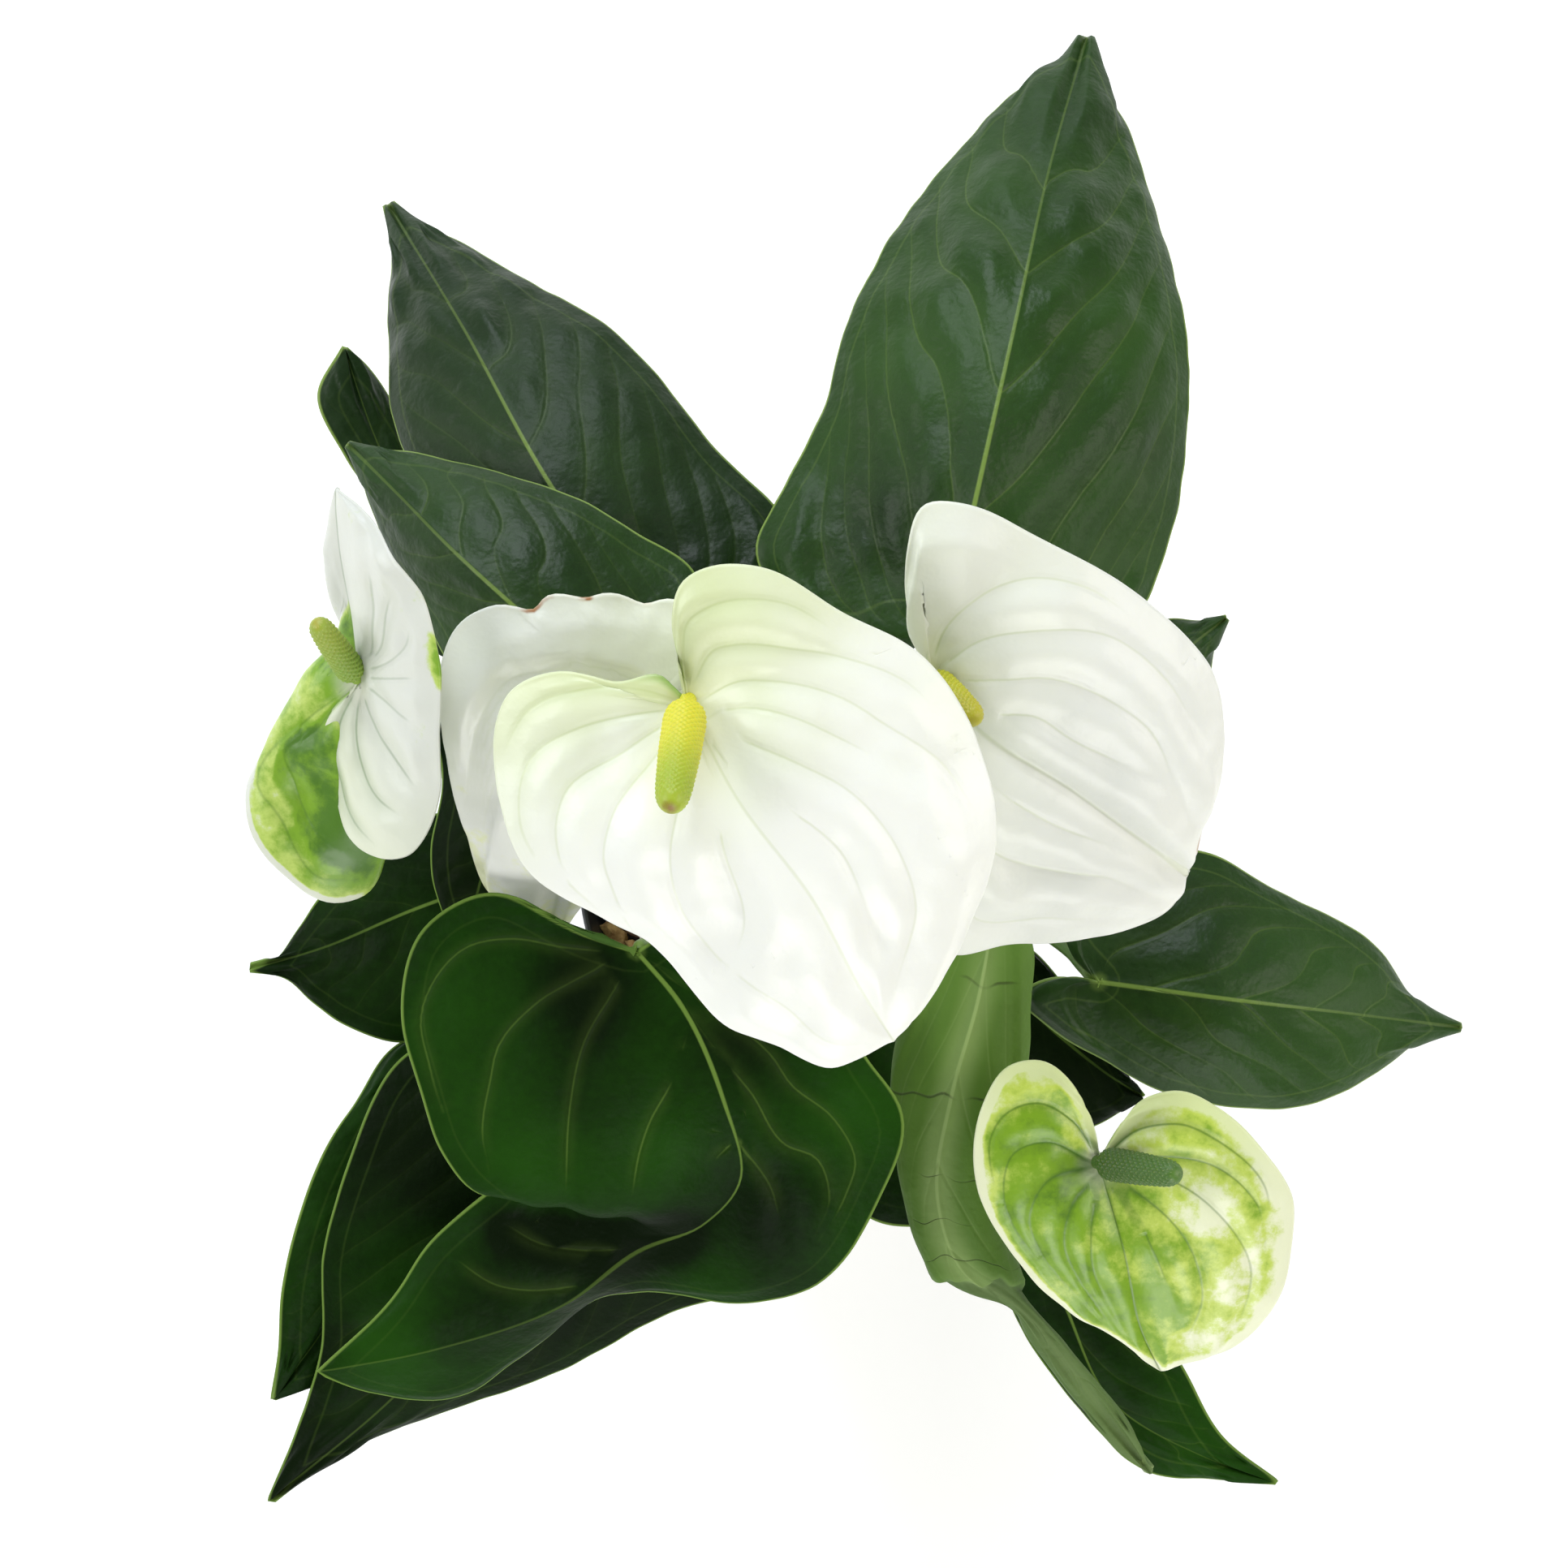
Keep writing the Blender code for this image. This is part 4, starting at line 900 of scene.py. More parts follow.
for name, leaf in LEAVES.items():
    young = name == "leaf_11"
    finish = young_cuticle if young else old_cuticle if name in AT_BACK else deep_cuticle
    shape = {key: leaf[key] for key in SHAPE if key in leaf}
    made = blade(name, finish, LEAF_T, **shape, lines=VEINS.get(name), **LEAF_DETAILS[name])
    stand_for(made, name + "_blade")
print("leaves:", len(LEAVES), "points each:", len(made.data.vertices))

# %% [markdown]
# ## Spathe finish
#
# The spathe is a leaf turned white: thick, waxy and a little translucent, so light spreads inside it
# before it comes back. It is creamy towards the joint and greener along its veins. The main one is clean
# white, two are painted a little greyer as shade, and two keep lime blotches, the way a half-green variety
# does. Painted shade also turns one spathe's end olive, and darkens the rolled bowl and greys the white of
# another.


# %% The spathe finish
GREEN_MARGIN = "#7fa63a"
BURNT_EDGE = "#9a6a3c"


def spathe_finish(name, white, cream, pale_lime, lime, vein_tint, vein_strength, rays, hub_tint):
    """A waxy spathe. White is its clean tissue, cream its tinted part and the two limes its blotches; on the
    white finishes the limes show as olive painted shade.
    """
    material, tree, shader = finish_named(name, 0.36, IOR=1.45, Coat_Weight=0.12, Coat_Roughness=0.3,
                                          Subsurface_Weight=0.1, Subsurface_Scale=0.002,
                                          Subsurface_Radius=(1.0, 1.0, 0.6))
    place = add(tree, "TexCoord", out=3)
    fact = facts_of(tree, "vein", "clear", "mid", "rim", "reach", "upper", "scar", "spots_and_shade", "hub", "shade")

    cloud = lumps(tree, place, 29.4118)
    drift = maths(tree, "MULTIPLY_ADD", cloud, 0.4, fact["reach"])
    cream_part = ramp(tree, drift, 0.3, 0.85, 1.0, 0.0)
    cream_part = maths(tree, "MULTIPLY", cream_part, fact["shade"])
    tissue = mix(tree, cream_part, white, cream)

    # Blotches are real lime marks, and on two spathes they also carry painted shade: an olive end and a dark
    # rolled bowl.
    blotch_and_shade = lumps(tree, place, 10.5263)
    fleck = lumps(tree, place, 2.08333, 4.0, 0.68)
    blotch_and_shade = maths(tree, "MULTIPLY_ADD", blotch_and_shade, 2.0, fact["spots_and_shade"])
    blotch_and_shade = maths(tree, "MULTIPLY_ADD", fleck, 0.9, blotch_and_shade)
    pale_part = ramp(tree, blotch_and_shade, 1.6, 2.05, 0.0, 0.9)
    lime_part = ramp(tree, blotch_and_shade, 1.95, 2.6, 0.0, 0.9)
    dark_part = ramp(tree, blotch_and_shade, 2.6, 3.3, 0.0, 0.85)
    tissue = mix(tree, pale_part, tissue, pale_lime)
    tissue = mix(tree, lime_part, tissue, lime)
    tissue = mix(tree, dark_part, tissue, vein_tint)

    core = ramp(tree, fact["hub"], 2.0, 8.0, 1.0, 0.0)
    core = maths(tree, "MULTIPLY", core, 0.8)
    tissue = mix(tree, core, tissue, hub_tint)

    off_vein = maths(tree, "ABSOLUTE", fact["vein"])
    halo = ramp(tree, off_vein, 0.0, 2.6, 0.45, 0.0)
    halo = maths(tree, "MULTIPLY", halo, cream_part)
    halo = maths(tree, "MULTIPLY", halo, fact["clear"])
    ray = ramp(tree, off_vein, 0.3, 1.1, rays, 0.0)
    near_hub = ramp(tree, fact["hub"], 8.0, 22.0, 1.0, 0.0)
    ray = maths(tree, "MULTIPLY", ray, near_hub)
    halo = maths(tree, "MAXIMUM", halo, ray)
    tissue = mix(tree, halo, tissue, vein_tint)
    thin = ramp(tree, off_vein, 0.04, 0.42, vein_strength, 0.0)
    thin = maths(tree, "MULTIPLY", thin, fact["clear"])
    waning = ramp(tree, fact["reach"], 0.25, 0.75, 1.0, 0.55)
    thin = maths(tree, "MULTIPLY", thin, waning)
    tissue = mix(tree, thin, tissue, vein_tint)
    rib = ramp(tree, fact["mid"], 0.1, 0.55, vein_strength * 0.6, 0.0)
    tissue = mix(tree, rib, tissue, vein_tint)

    at_joint = ramp(tree, fact["reach"], 0.03, 0.1, 0.9, 0.0)
    edge = ramp(tree, fact["rim"], 0.4, 2.0, 1.0, 0.0)
    curl = maths(tree, "MULTIPLY", at_joint, edge)
    tissue = mix(tree, curl, tissue, GREEN_MARGIN)
    burnt = ramp(tree, fact["rim"], 0.1, 0.7, 0.7, 0.0)
    burnt = maths(tree, "MULTIPLY", burnt, fact["scar"])
    ragged = lumps(tree, place, 5.88235)
    ragged = ramp(tree, ragged, 0.42, 0.62, 0.1, 1.0)
    burnt = maths(tree, "MULTIPLY", burnt, ragged)
    tissue = mix(tree, burnt, tissue, BURNT_EDGE)
    face = ramp(tree, fact["upper"], 0.3, 0.7)
    below = mix(tree, 0.5, tissue, cream)
    tree.links.new(mix(tree, face, below, tissue), shader.inputs["Base Color"])

    near = maths(tree, "MINIMUM", off_vein, fact["mid"])
    groove = ramp(tree, near, 0.0, 1.3, -1.0, 0.0)
    groove = maths(tree, "MULTIPLY", groove, fact["clear"])
    puckers = lumps(tree, place, 6.66667, 3.0)
    relief = maths(tree, "MULTIPLY_ADD", puckers, 1.6, groove)
    relief = maths(tree, "MULTIPLY_ADD", fleck, 0.15, relief)
    bumped(tree, shader, relief, 0.5, 0.5)
    return material


# The pale lime and lime of WHITE show only at one spathe's shaded end, as olive painted shade.
WHITE = ("#eaece4", "#cfd9a8", "#dbe0ae", "#b2b97a", "#b2bf84", 0.45, 0.0, "#dde3c4")
LIME = ("#e0e4c4", "#ccd896", "#b8cc48", "#6c9804", "#41691a", 0.85, 0.6, "#c6ccb2")
# The white of MIXED_SHADED is painted grey as shade.
MIXED_SHADED = ("#d0d3c9", "#d6dcc0", "#b4cb52", "#6f9c14", "#3f6a1c", 0.55, 0.0, "#c8ccb8")
white_bract = spathe_finish("waxy_white_bract", *WHITE)
# The white of this finish is painted greyer as shade.
shaded_white_bract = spathe_finish("waxy_white_bract_painted_shade", "#e0e2da", *WHITE[1:])
lime_bract = spathe_finish("waxy_lime_bract", *LIME)
mixed_bract_shaded = spathe_finish("waxy_mixed_bract_painted_shade", *MIXED_SHADED)
print("spathe finishes:", white_bract.name, shaded_white_bract.name, lime_bract.name, mixed_bract_shaded.name)

# %% [markdown]
# ## Flowers
#
# What looks like one flower is a spathe with a spike of tiny flowers, the spadix. Five of them stand
# above the leaves. The main one is dented where it leaned on its neighbours in the bud, the one behind it
# is torn and browned at its edge, and the one on the right is folded along its midrib.

# %% The points of the flowers
FLOWERS = {
    "flower_1": dict(
        joint=(-26, 20, 352),
        midrib=[(-15, -1, 355), (1, -22, 349), (11, -40, 338)],
        left=[(-29, 37, 362), (-27, 45, 364), (-21, 48, 365), (-11, 48, 365), (8, 38, 361),
              (23, 31, 356), (35, 16, 350), (41, -9, 342), (35, -28, 336), (28, -41, 332)],
        right=[(-32, 26, 356), (-40, 24, 354), (-54, 27, 351), (-65, 23, 346), (-69, 11, 342),
               (-66, -4, 339), (-61, -15, 337), (-45, -25, 335), (-35, -30, 333), (-26, -40, 330),
               (-17, -49, 327), (-6, -53, 325), (5, -58, 325)],
        tip=(19, -52, 327),
        foot=(-3, 5), via=((-3, 5, 220), (-4, 8, 325)),
        spadix=((-26, 20, 354), (-29, -5, 381), 4.7),
    ),
    "flower_2": dict(
        joint=(-41, 18, 310),
        midrib=[(-48, 4, 306), (-56, -12, 284)],
        left=[(-39, 28, 308), (-35, 36, 308), (-27, 38, 309), (-20, 32, 309), (-17, 21, 306),
              (-20, 8, 299), (-31, -3, 288), (-45, -10, 276), (-54, -18, 265)],
        right=[(-31, 27, 318), (-22, 34, 323), (-21, 42, 325), (-30, 46, 326), (-44, 47, 327),
               (-64, 46, 324), (-78, 41, 319), (-82, 30, 317), (-82, 20, 311), (-81, 8, 302),
               (-78, -4, 289), (-73, -16, 272), (-67, -22, 263)],
        tip=(-61, -26, 257),
        foot=(-10, -3),
        spadix=((-41, 18, 312), (-46, 3, 330), 4.0),
    ),
    "flower_3": dict(
        joint=(28, 29, 318),
        midrib=[(36, 19, 319), (61, 3, 312), (78, -8, 301)],
        left=[(25, 35, 322), (22, 43, 329), (22, 54, 337), (26, 65, 342), (33, 65, 342), (51, 58, 336),
              (76, 45, 325), (92, 29, 314), (94, 18, 309), (93, 6, 303), (90, -5, 296)],
        right=[(21, 18, 315), (18, 1, 306), (22, -19, 297), (34, -31, 290), (46, -29, 288),
               (59, -28, 287), (72, -25, 286), (83, -21, 286)],
        tip=(89, -14, 288),
        foot=(10, 2),
        spadix=((28, 29, 320), (37, 18, 338), 3.6),
    ),
    "flower_4": dict(
        joint=(68, -78, 262),
        midrib=[(74, -98, 258), (79, -117, 246)],
        left=[(72, -71, 267), (76, -65, 271), (86, -62, 274), (95, -66, 274), (106, -76, 269),
              (113, -87, 264), (113, -98, 258), (110, -110, 251), (103, -120, 244), (92, -125, 240)],
        right=[(65, -67, 268), (62, -61, 272), (54, -55, 274), (47, -56, 274), (41, -65, 272),
               (39, -75, 269), (40, -84, 265), (46, -96, 259), (54, -106, 254), (62, -113, 249),
               (75, -121, 243)],
        tip=(84, -127, 238),
        foot=(24, -36),
        spadix=((68, -78, 265), (85, -81, 285), 3.9),
    ),
    "flower_5": dict(
        joint=(-101, 30, 303),
        midrib=[(-102, 44, 311), (-104, 57, 318)],
        left=[(-99, 8, 283), (-98, -8, 272), (-101, -15, 270), (-110, -18, 272), (-121, -12, 276),
              (-129, -2, 280), (-130, 8, 281), (-122, 20, 284), (-111, 25, 289), (-103, 37, 297),
              (-107, 47, 302), (-108, 56, 308), (-107, 64, 317)],
        right=[(-108, 24, 300), (-112, 18, 296), (-111, 4, 292), (-106, -4, 293), (-98, -9, 297),
               (-90, -9, 303), (-83, 3, 315), (-82, 17, 325), (-82, 33, 335), (-84, 43, 338),
               (-91, 53, 339), (-96, 62, 334)],
        tip=(-105, 71, 325),
        foot=(-40, 6), via=((-62, 8, 130), (-108, 22, 240)),
        spadix=((-102, 31, 305), (-109, 41, 326), 3.4),
        fan=0.55,
    ),
}


# %% Grow the spathes
def lime_all_over(place, half, reach, across, cell, rim):
    """Lime that is strong at the middle and in one half, paler in the outer cells, with a clean margin."""
    strong = np.interp(cell, (0.5, 1.1, 1.6, 3.0, 5.5), (0.6, 0.8, 1.05, 1.15, 1.2))
    weak = np.interp(cell, (0.5, 0.8, 1.3, 2.0, 2.5, 3.5, 4.3, 5.0, 5.8),
                     (0.4, 0.7, 0.5, 0.8, 0.4, 0.45, 0.75, 1.0, 1.15))
    return np.where(half == 1, strong, weak) - 1.3 * (1.0 - step(rim, 0.4, np.where(half == 1, 2.8, 4.0)))


def lime_lobe_shaded_bowl(place, half, reach, across, cell, rim):
    """Lime in the rolled lobe with painted shade darkest deep inside its bowl, a clean margin, and a green
    fold at the other margin.
    """
    lobe = 1.0 - step(reach, 0.68, 0.75)
    # The green deepens towards the white lobe and in four patches: painted shade where the lobe curls under.
    bowl_and_shade = lobe * np.interp(cell, (0.5, 1.0, 1.5, 2.0, 2.4), (0.75, 1.0, 1.05, 1.4, 1.6))
    bowl_and_shade -= 1.4 * lobe * (1.0 - step(rim, 0.4, 2.6)) * step(reach, 0.28, 0.36) * step(across, 0.7, 0.85)
    for x, y in ((-112, 18), (-110, 9), (-108, 0), (-105, -8)):
        bowl_and_shade += 0.8 * lobe * patch(place, x, y, 6.0)
    fold = 1.4 * np.exp(-(((reach - 0.69) / 0.05) ** 2) - (rim / 2.6) ** 2)
    return np.where(half == 0, bowl_and_shade, fold) - 0.25


def olive_shaded_end(place, half, reach, across, cell, rim):
    """Olive painted shade towards the end, where the spathe above shades this one."""
    return 1.1 * step(reach, 0.55, 0.95) - 0.4


SPATHE_DETAILS = {
    "flower_1": dict(shade=0.95,
                     dents=[(-5.0, -34.0, 5.0, 1.6), (16.0, -29.0, 6.0, 1.5), (-20.0, -20.0, 7.0, 1.2),
                            (-45.0, 8.0, 6.0, 1.0), (12.0, 10.0, 9.0, 1.2), (-18.0, -30.0, 5.0, 1.3)]),
    "flower_2": dict(shade=0.4, faint=0.5, mottle_and_shade=olive_shaded_end,
                     nicks=[(1.0, 0.408, 0.014, 4.0), (1.0, 0.34, 0.010, 2.2), (1.0, 0.27, 0.014, 3.0),
                            (1.0, 0.34, 0.07, 0.0)]),
    "flower_3": dict(shade=0.3, fold=2.8, nicks=[(-1.0, 0.93, 0.02, 3.0)],
                     dents=[(55.0, 20.0, 10.0, 1.4), (50.0, -12.0, 9.0, 1.4)]),
    "flower_4": dict(shade=0.95, mottle_and_shade=lime_all_over),
    "flower_5": dict(shade=0.95, mottle_and_shade=lime_lobe_shaded_bowl, dents=[(-116.0, 5.0, 11.0, 5.5)]),
}
BRACTS = {"flower_1": white_bract, "flower_2": shaded_white_bract, "flower_3": shaded_white_bract, "flower_4": lime_bract,
          "flower_5": mixed_bract_shaded}
for name, flower in FLOWERS.items():
    shape = {key: flower[key] for key in SHAPE if key in flower}
    made = blade(name, BRACTS[name], SPATHE_T, **shape, veins=SPATHE_VEINS, sweep=SPATHE_SWEEP, crisp=1.8,
                 quilt=2.0, wave=0.3, lines=VEINS.get(name), **SPATHE_DETAILS[name])
    stand_for(made, name + "_spathe")
print("spathes:", len(FLOWERS))

# %% [markdown]
# ## Spadix
#
# The spike is packed with florets in slanting rows, each a diamond about 1.6 mm across with a pale point.
# It ripens from the base, so the two ripest are yellow below and greener above. One is olive, one is
# turning, and the youngest is green all over. The diamonds come from two waves, one round the spike and
# one along it: where their sum crosses zero lie the grooves.

# %% The spadix
SPIKE_SIDES = 96
SPIKE_ROWS = 150
FLORET = 1.6
STIGMA = "#f0eeb0"


def ring_faces(rows, n):
    """The faces between rings of n points each, and one across each end."""
    faces = [(i * n + k, i * n + (k + 1) % n, (i + 1) * n + (k + 1) % n, (i + 1) * n + k)
             for i in range(rows - 1) for k in range(n)]
    return faces + [tuple(range(n))[::-1], tuple(range((rows - 1) * n, rows * n))]


def spike_finish(name, base, top, tip):
    """Tiny waxy florets, darker in the grooves. Base, top and tip are the hex codes along the spike."""
    material, tree, shader = finish_named(name, 0.42, IOR=1.45, Subsurface_Weight=0.1,
                                          Subsurface_Scale=0.0015)
    place = add(tree, "TexCoord", out=3)
    share = add(tree, "Attribute", {"attribute_name": "reach"}, out=2)
    floret = add(tree, "Attribute", {"attribute_name": "swell"}, out=2)
    cloud = lumps(tree, place, 5.55556)
    along = maths(tree, "MULTIPLY_ADD", cloud, 0.16, share)
    ripe = ramp(tree, along, 0.35, 0.95)
    skin = mix(tree, ripe, base, top)
    end = ramp(tree, along, 1.05, 1.11)
    skin = mix(tree, end, skin, tip)
    deep = ramp(tree, floret, 0.0, 0.35, 0.45, 0.0)
    skin = mix(tree, deep, skin, top)
    dot = ramp(tree, floret, 0.86, 0.97, 0.0, 0.35)
    skin = mix(tree, dot, skin, STIGMA)
    tree.links.new(skin, shader.inputs["Base Color"])
    grain = lumps(tree, place, 0.333333)
    bumped(tree, shader, grain, 0.25, 0.2)
    return material


def spike(name, material, base, tip, radius):
    """The neck and the blunt cylinder of florets, closed at both ends."""
    b, t = np.array(base, float), np.array(tip, float)
    length = np.linalg.norm(t - b)
    way = (t - b) / length
    side = unit(np.cross(way, (0.31, 0.95, 0.02)))
    other = np.cross(way, side)
    share = np.linspace(-0.04, 1.0, SPIKE_ROWS)
    profile = np.interp(share, (-0.04, 0.03, 0.07, 0.11, 0.18, 0.5, 0.8, 0.9, 0.96, 0.99, 1.0),
                        (0.4, 0.42, 0.68, 0.92, 1.0, 0.96, 0.84, 0.76, 0.6, 0.36, 0.12))
    profile[2:-4] = smoothed(profile[:, None], 6)[2:-4, 0]
    around = round(2 * math.pi * radius / FLORET)
    angle = 2 * math.pi * np.arange(SPIKE_SIDES) / SPIKE_SIDES
    wave = np.cos(around * angle)[None, :] + np.cos(2 * math.pi * share * length / FLORET)[:, None]
    floret = np.abs(wave) / 2
    r = radius * profile[:, None] + 0.4 * (np.sqrt(floret) - 0.6) * step(profile, 0.5, 0.8)[:, None]
    ring = np.cos(angle)[None, :, None] * side + np.sin(angle)[None, :, None] * other
    verts = b + way * (share * length)[:, None, None] + ring * r[:, :, None]
    return piece(name, verts.reshape(-1, 3), ring_faces(SPIKE_ROWS, SPIKE_SIDES), material,
                 reach=np.repeat(share, SPIKE_SIDES), swell=floret.ravel())


yellow_spike = spike_finish("ripening_spike_yellow", "#d6d136", "#9db02e", "#86642c")
green_spike = spike_finish("unripe_spike_green", "#3c5a1e", "#456824", "#5a8030")
olive_spike = spike_finish("ripening_spike_olive", "#b9bb2e", "#b3ae30", "#8c7a28")
lime_spike = spike_finish("turning_spike_lime", "#7d9c34", "#93a53a", "#b09a3c")
SPIKE_FINISHES = {"flower_3": olive_spike, "flower_4": green_spike, "flower_5": lime_spike}
for name, flower in FLOWERS.items():
    made = spike(name + "_spike", SPIKE_FINISHES.get(name, yellow_spike), *flower["spadix"])
    stand_for(made, name + "_spadix")
print("spikes with", SPIKE_ROWS * SPIKE_SIDES, "points each")

# %% [markdown]
# ## Stalks
#
# Leaf stalks are round and wiry, a little thinner towards the blade, and end in a short swollen joint
# that lets the blade turn to the light. Flower stalks are a little thicker. A tube swept along one slow
# bend gives both.

# %% The stalks
SOIL_TOP = 94.0
HOLE_FLOOR = 64.0
LEAN_LOW = np.array((0.14, 0.14, 0.40))
LEAN_HIGH = np.array((0.54, 0.54, 0.78))
LEAF_STALK_R = (2.5, 1.7)
FLOWER_STALK_R = (2.6, 2.0)
TUBE_SIDES = 18
TUBE_RINGS = 70


def tube(name, material, line, radii):
    """A closed tube along a line of points, with a radius for each and its share of the length kept."""
    along = unit(np.gradient(line, axis=0))
    u = np.cross(along[0], (0.31, 0.95, 0.02))
    verts, share = [], []
    for i, point in enumerate(line):
        u = unit(u - along[i] * np.dot(u, along[i]))
        v = np.cross(along[i], u)
        for k in range(TUBE_SIDES):
            a = 2 * math.pi * k / TUBE_SIDES
            verts.append(point + radii[i] * (math.cos(a) * u + math.sin(a) * v))
            share.append(i / (len(line) - 1))
    return piece(name, verts, ring_faces(len(line), TUBE_SIDES), material, reach=share)


def stalk_finish(name, low, high, joint):
    """A green stem: duller by the soil, fresh above, with fine fibres along it."""
    material, tree, shader = finish_named(name, 0.4, IOR=1.45, Coat_Weight=0.08, Coat_Roughness=0.3)
    place = add(tree, "TexCoord", out=3)
    share = add(tree, "Attribute", {"attribute_name": "reach"}, out=2)
    squeezed = add(tree, "VectorMath", {"operation": "MULTIPLY"}, {0: place, 1: (1.0, 1.0, 0.06)})
    fibre = lumps(tree, squeezed, 1.11111, 3.0)
    up = ramp(tree, share, 0.05, 0.5)
    skin = mix(tree, up, low, high)
    swollen = ramp(tree, share, 0.93, 0.97)
    skin = mix(tree, swollen, skin, joint)
    streak = ramp(tree, fibre, 0.35, 0.7, 0.0, 0.35)
    skin = mix(tree, streak, skin, low)
    tree.links.new(skin, shader.inputs["Base Color"])
    bumped(tree, shader, fibre, 0.3, 0.3)
    return material


def stalk(name, material, foot, head, via, r_foot, r_head):
    """Up out of the soil, then in one slow bend to the joint. Via gives the bend's two guide points."""
    start, end = np.array((*foot, SOIL_TOP + 3.0)), np.array(head, float)
    near, far = via if via else (start + (end - start) * LEAN_LOW, start + (end - start) * LEAN_HIGH)
    u = np.linspace(0.0, 1.0, TUBE_RINGS)[:, None]
    near, far = np.array(near), np.array(far)
    bend = start * (1 - u) ** 3 + 3 * near * u * (1 - u) ** 2 + 3 * far * u**2 * (1 - u) + end * u**3
    upright = [(*foot, HOLE_FLOOR + 0.3), (*foot, SOIL_TOP - 12.0), (*foot, SOIL_TOP - 4.0)]
    line = np.concatenate([upright, bend])
    left = np.concatenate([np.cumsum(np.linalg.norm(np.diff(line[::-1], axis=0), axis=1))[::-1], [0.0]])
    radii = np.interp(left, (0.0, 1.0, 3.0, 8.0, 13.0, left[0]),
                      (0.5 * r_head, 0.95 * r_head, 1.3 * r_head, 1.25 * r_head, r_head, r_foot))
    line -= unit(line[-1] - line[-3]) * 0.9 * (1.0 - step(left, 0.0, 10.0))[:, None]
    return tube(name, material, line, radii)


leaf_stem = stalk_finish("leaf_stalk_skin", "#4e5f2a", "#5c8432", "#7a9a44")
flower_stem = stalk_finish("flower_stalk_skin", "#5a6e2e", "#7a9c46", "#90ac58")
for name, part in {**LEAVES, **FLOWERS}.items():
    flowering = name in FLOWERS
    skin, radii = (flower_stem, FLOWER_STALK_R) if flowering else (leaf_stem, LEAF_STALK_R)
    made = stalk(name + "_stem", skin, part["foot"], part["joint"], part.get("via"), *radii)
    stand_for(made, name + "_stalk")
print("stalks:", len(LEAVES) + len(FLOWERS))

# %% [markdown]
# ## Pot
#
# The nursery pot is injection-moulded polypropylene: thin, near black, slightly satin, with a fine
# spark-eroded texture from the mould. Its wall tapers so that pots stack, and a turned-out band stiffens
# the rim. It is a body of revolution, so a turned profile makes it, with small round fillets that catch
# the light. Its flat base has a groove near the edge and a ring of drilled drainage holes.

# %% The pot
RIM_R = 60.0
RIM_BAND = 12.0
POT_H = 105.0
POT_BASE_R = 42.0
POT_WALL = 1.4
BASE_GROOVE = 2.0
DRAIN_HOLES = 8
DRAIN_R = 4.0
DRAIN_RING = 26.0
DRILL_LENGTH = 20.0
POT_SIDES = 144


def lathe(name, material, profile, sides):
    """A closed body turned about the z axis. The profile starts and ends on the axis."""
    verts, faces, rings = [], [], []
    for r, z in profile:
        count = 1 if r == 0.0 else sides
        rings.append(range(len(verts), len(verts) + count))
        for k in range(count):
            a = 2 * math.pi * k / sides
            verts.append((r * math.cos(a), r * math.sin(a), z))
    for low, high in zip(rings, rings[1:]):
        for k in range(sides):
            a, b = low[k % len(low)], low[(k + 1) % len(low)]
            c, d = high[(k + 1) % len(high)], high[k % len(high)]
            faces.append(tuple(dict.fromkeys((a, b, c, d))))
    return piece(name, verts, faces, material)


def filleted(corners, radius):
    """The corners of a profile, each cut by a small arc of four points."""
    out = [corners[0]]
    for before, here, after in zip(corners, corners[1:], corners[2:]):
        h, b, a = (np.array(v, float) for v in (here, before, after))
        to_b, to_a = b - h, a - h
        cut = min(radius, 0.45 * np.linalg.norm(to_b), 0.45 * np.linalg.norm(to_a))
        start, end = h + unit(to_b) * cut, h + unit(to_a) * cut
        for k in (0.0, 0.33, 0.67, 1.0):
            out.append(tuple((1 - k) ** 2 * start + 2 * k * (1 - k) * h + k * k * end))
    return out + [corners[-1]]


def plastic_finish():
    """Near black plastic, a little uneven in tone and gloss, with the mould's fine grain."""
    material, tree, shader = finish_named("moulded_polypropylene", 0.42, IOR=1.49)
    place = add(tree, "TexCoord", out=3)
    cloud = lumps(tree, place, 16.6667, 4.0)
    tone = mix(tree, cloud, "#17181a", "#26282a")
    tree.links.new(tone, shader.inputs["Base Color"])
    rub = ramp(tree, cloud, 0.3, 0.7, 0.36, 0.55, soft=False)
    tree.links.new(rub, shader.inputs["Roughness"])
    grain = lumps(tree, place, 0.454545)
    bumped(tree, shader, grain, 0.2, 0.2)
    return material


OUTLINE = [
    (0.0, 0.0),
    (POT_BASE_R - 9.0, 0.0),
    (POT_BASE_R - 7.0, BASE_GROOVE),
    (POT_BASE_R - 3.0, BASE_GROOVE),
    (POT_BASE_R - 2.0, 0.0),
    (POT_BASE_R, 0.0),
    (RIM_R - 3.4, POT_H - RIM_BAND),
    (RIM_R - 1.0, POT_H - RIM_BAND),
    (RIM_R, POT_H - 1.0),
    (RIM_R - 0.6, POT_H),
    (RIM_R - 1.6, POT_H - 0.4),
    (RIM_R - 3.4, POT_H - RIM_BAND + 2.0),
    (RIM_R - 3.4 - POT_WALL, POT_H - RIM_BAND - 2.0),
    (POT_BASE_R - POT_WALL, BASE_GROOVE + POT_WALL),
    (0.0, BASE_GROOVE + POT_WALL),
]
pot = lathe("nursery_pot", plastic_finish(), filleted(OUTLINE, 0.7), POT_SIDES)
drills = []
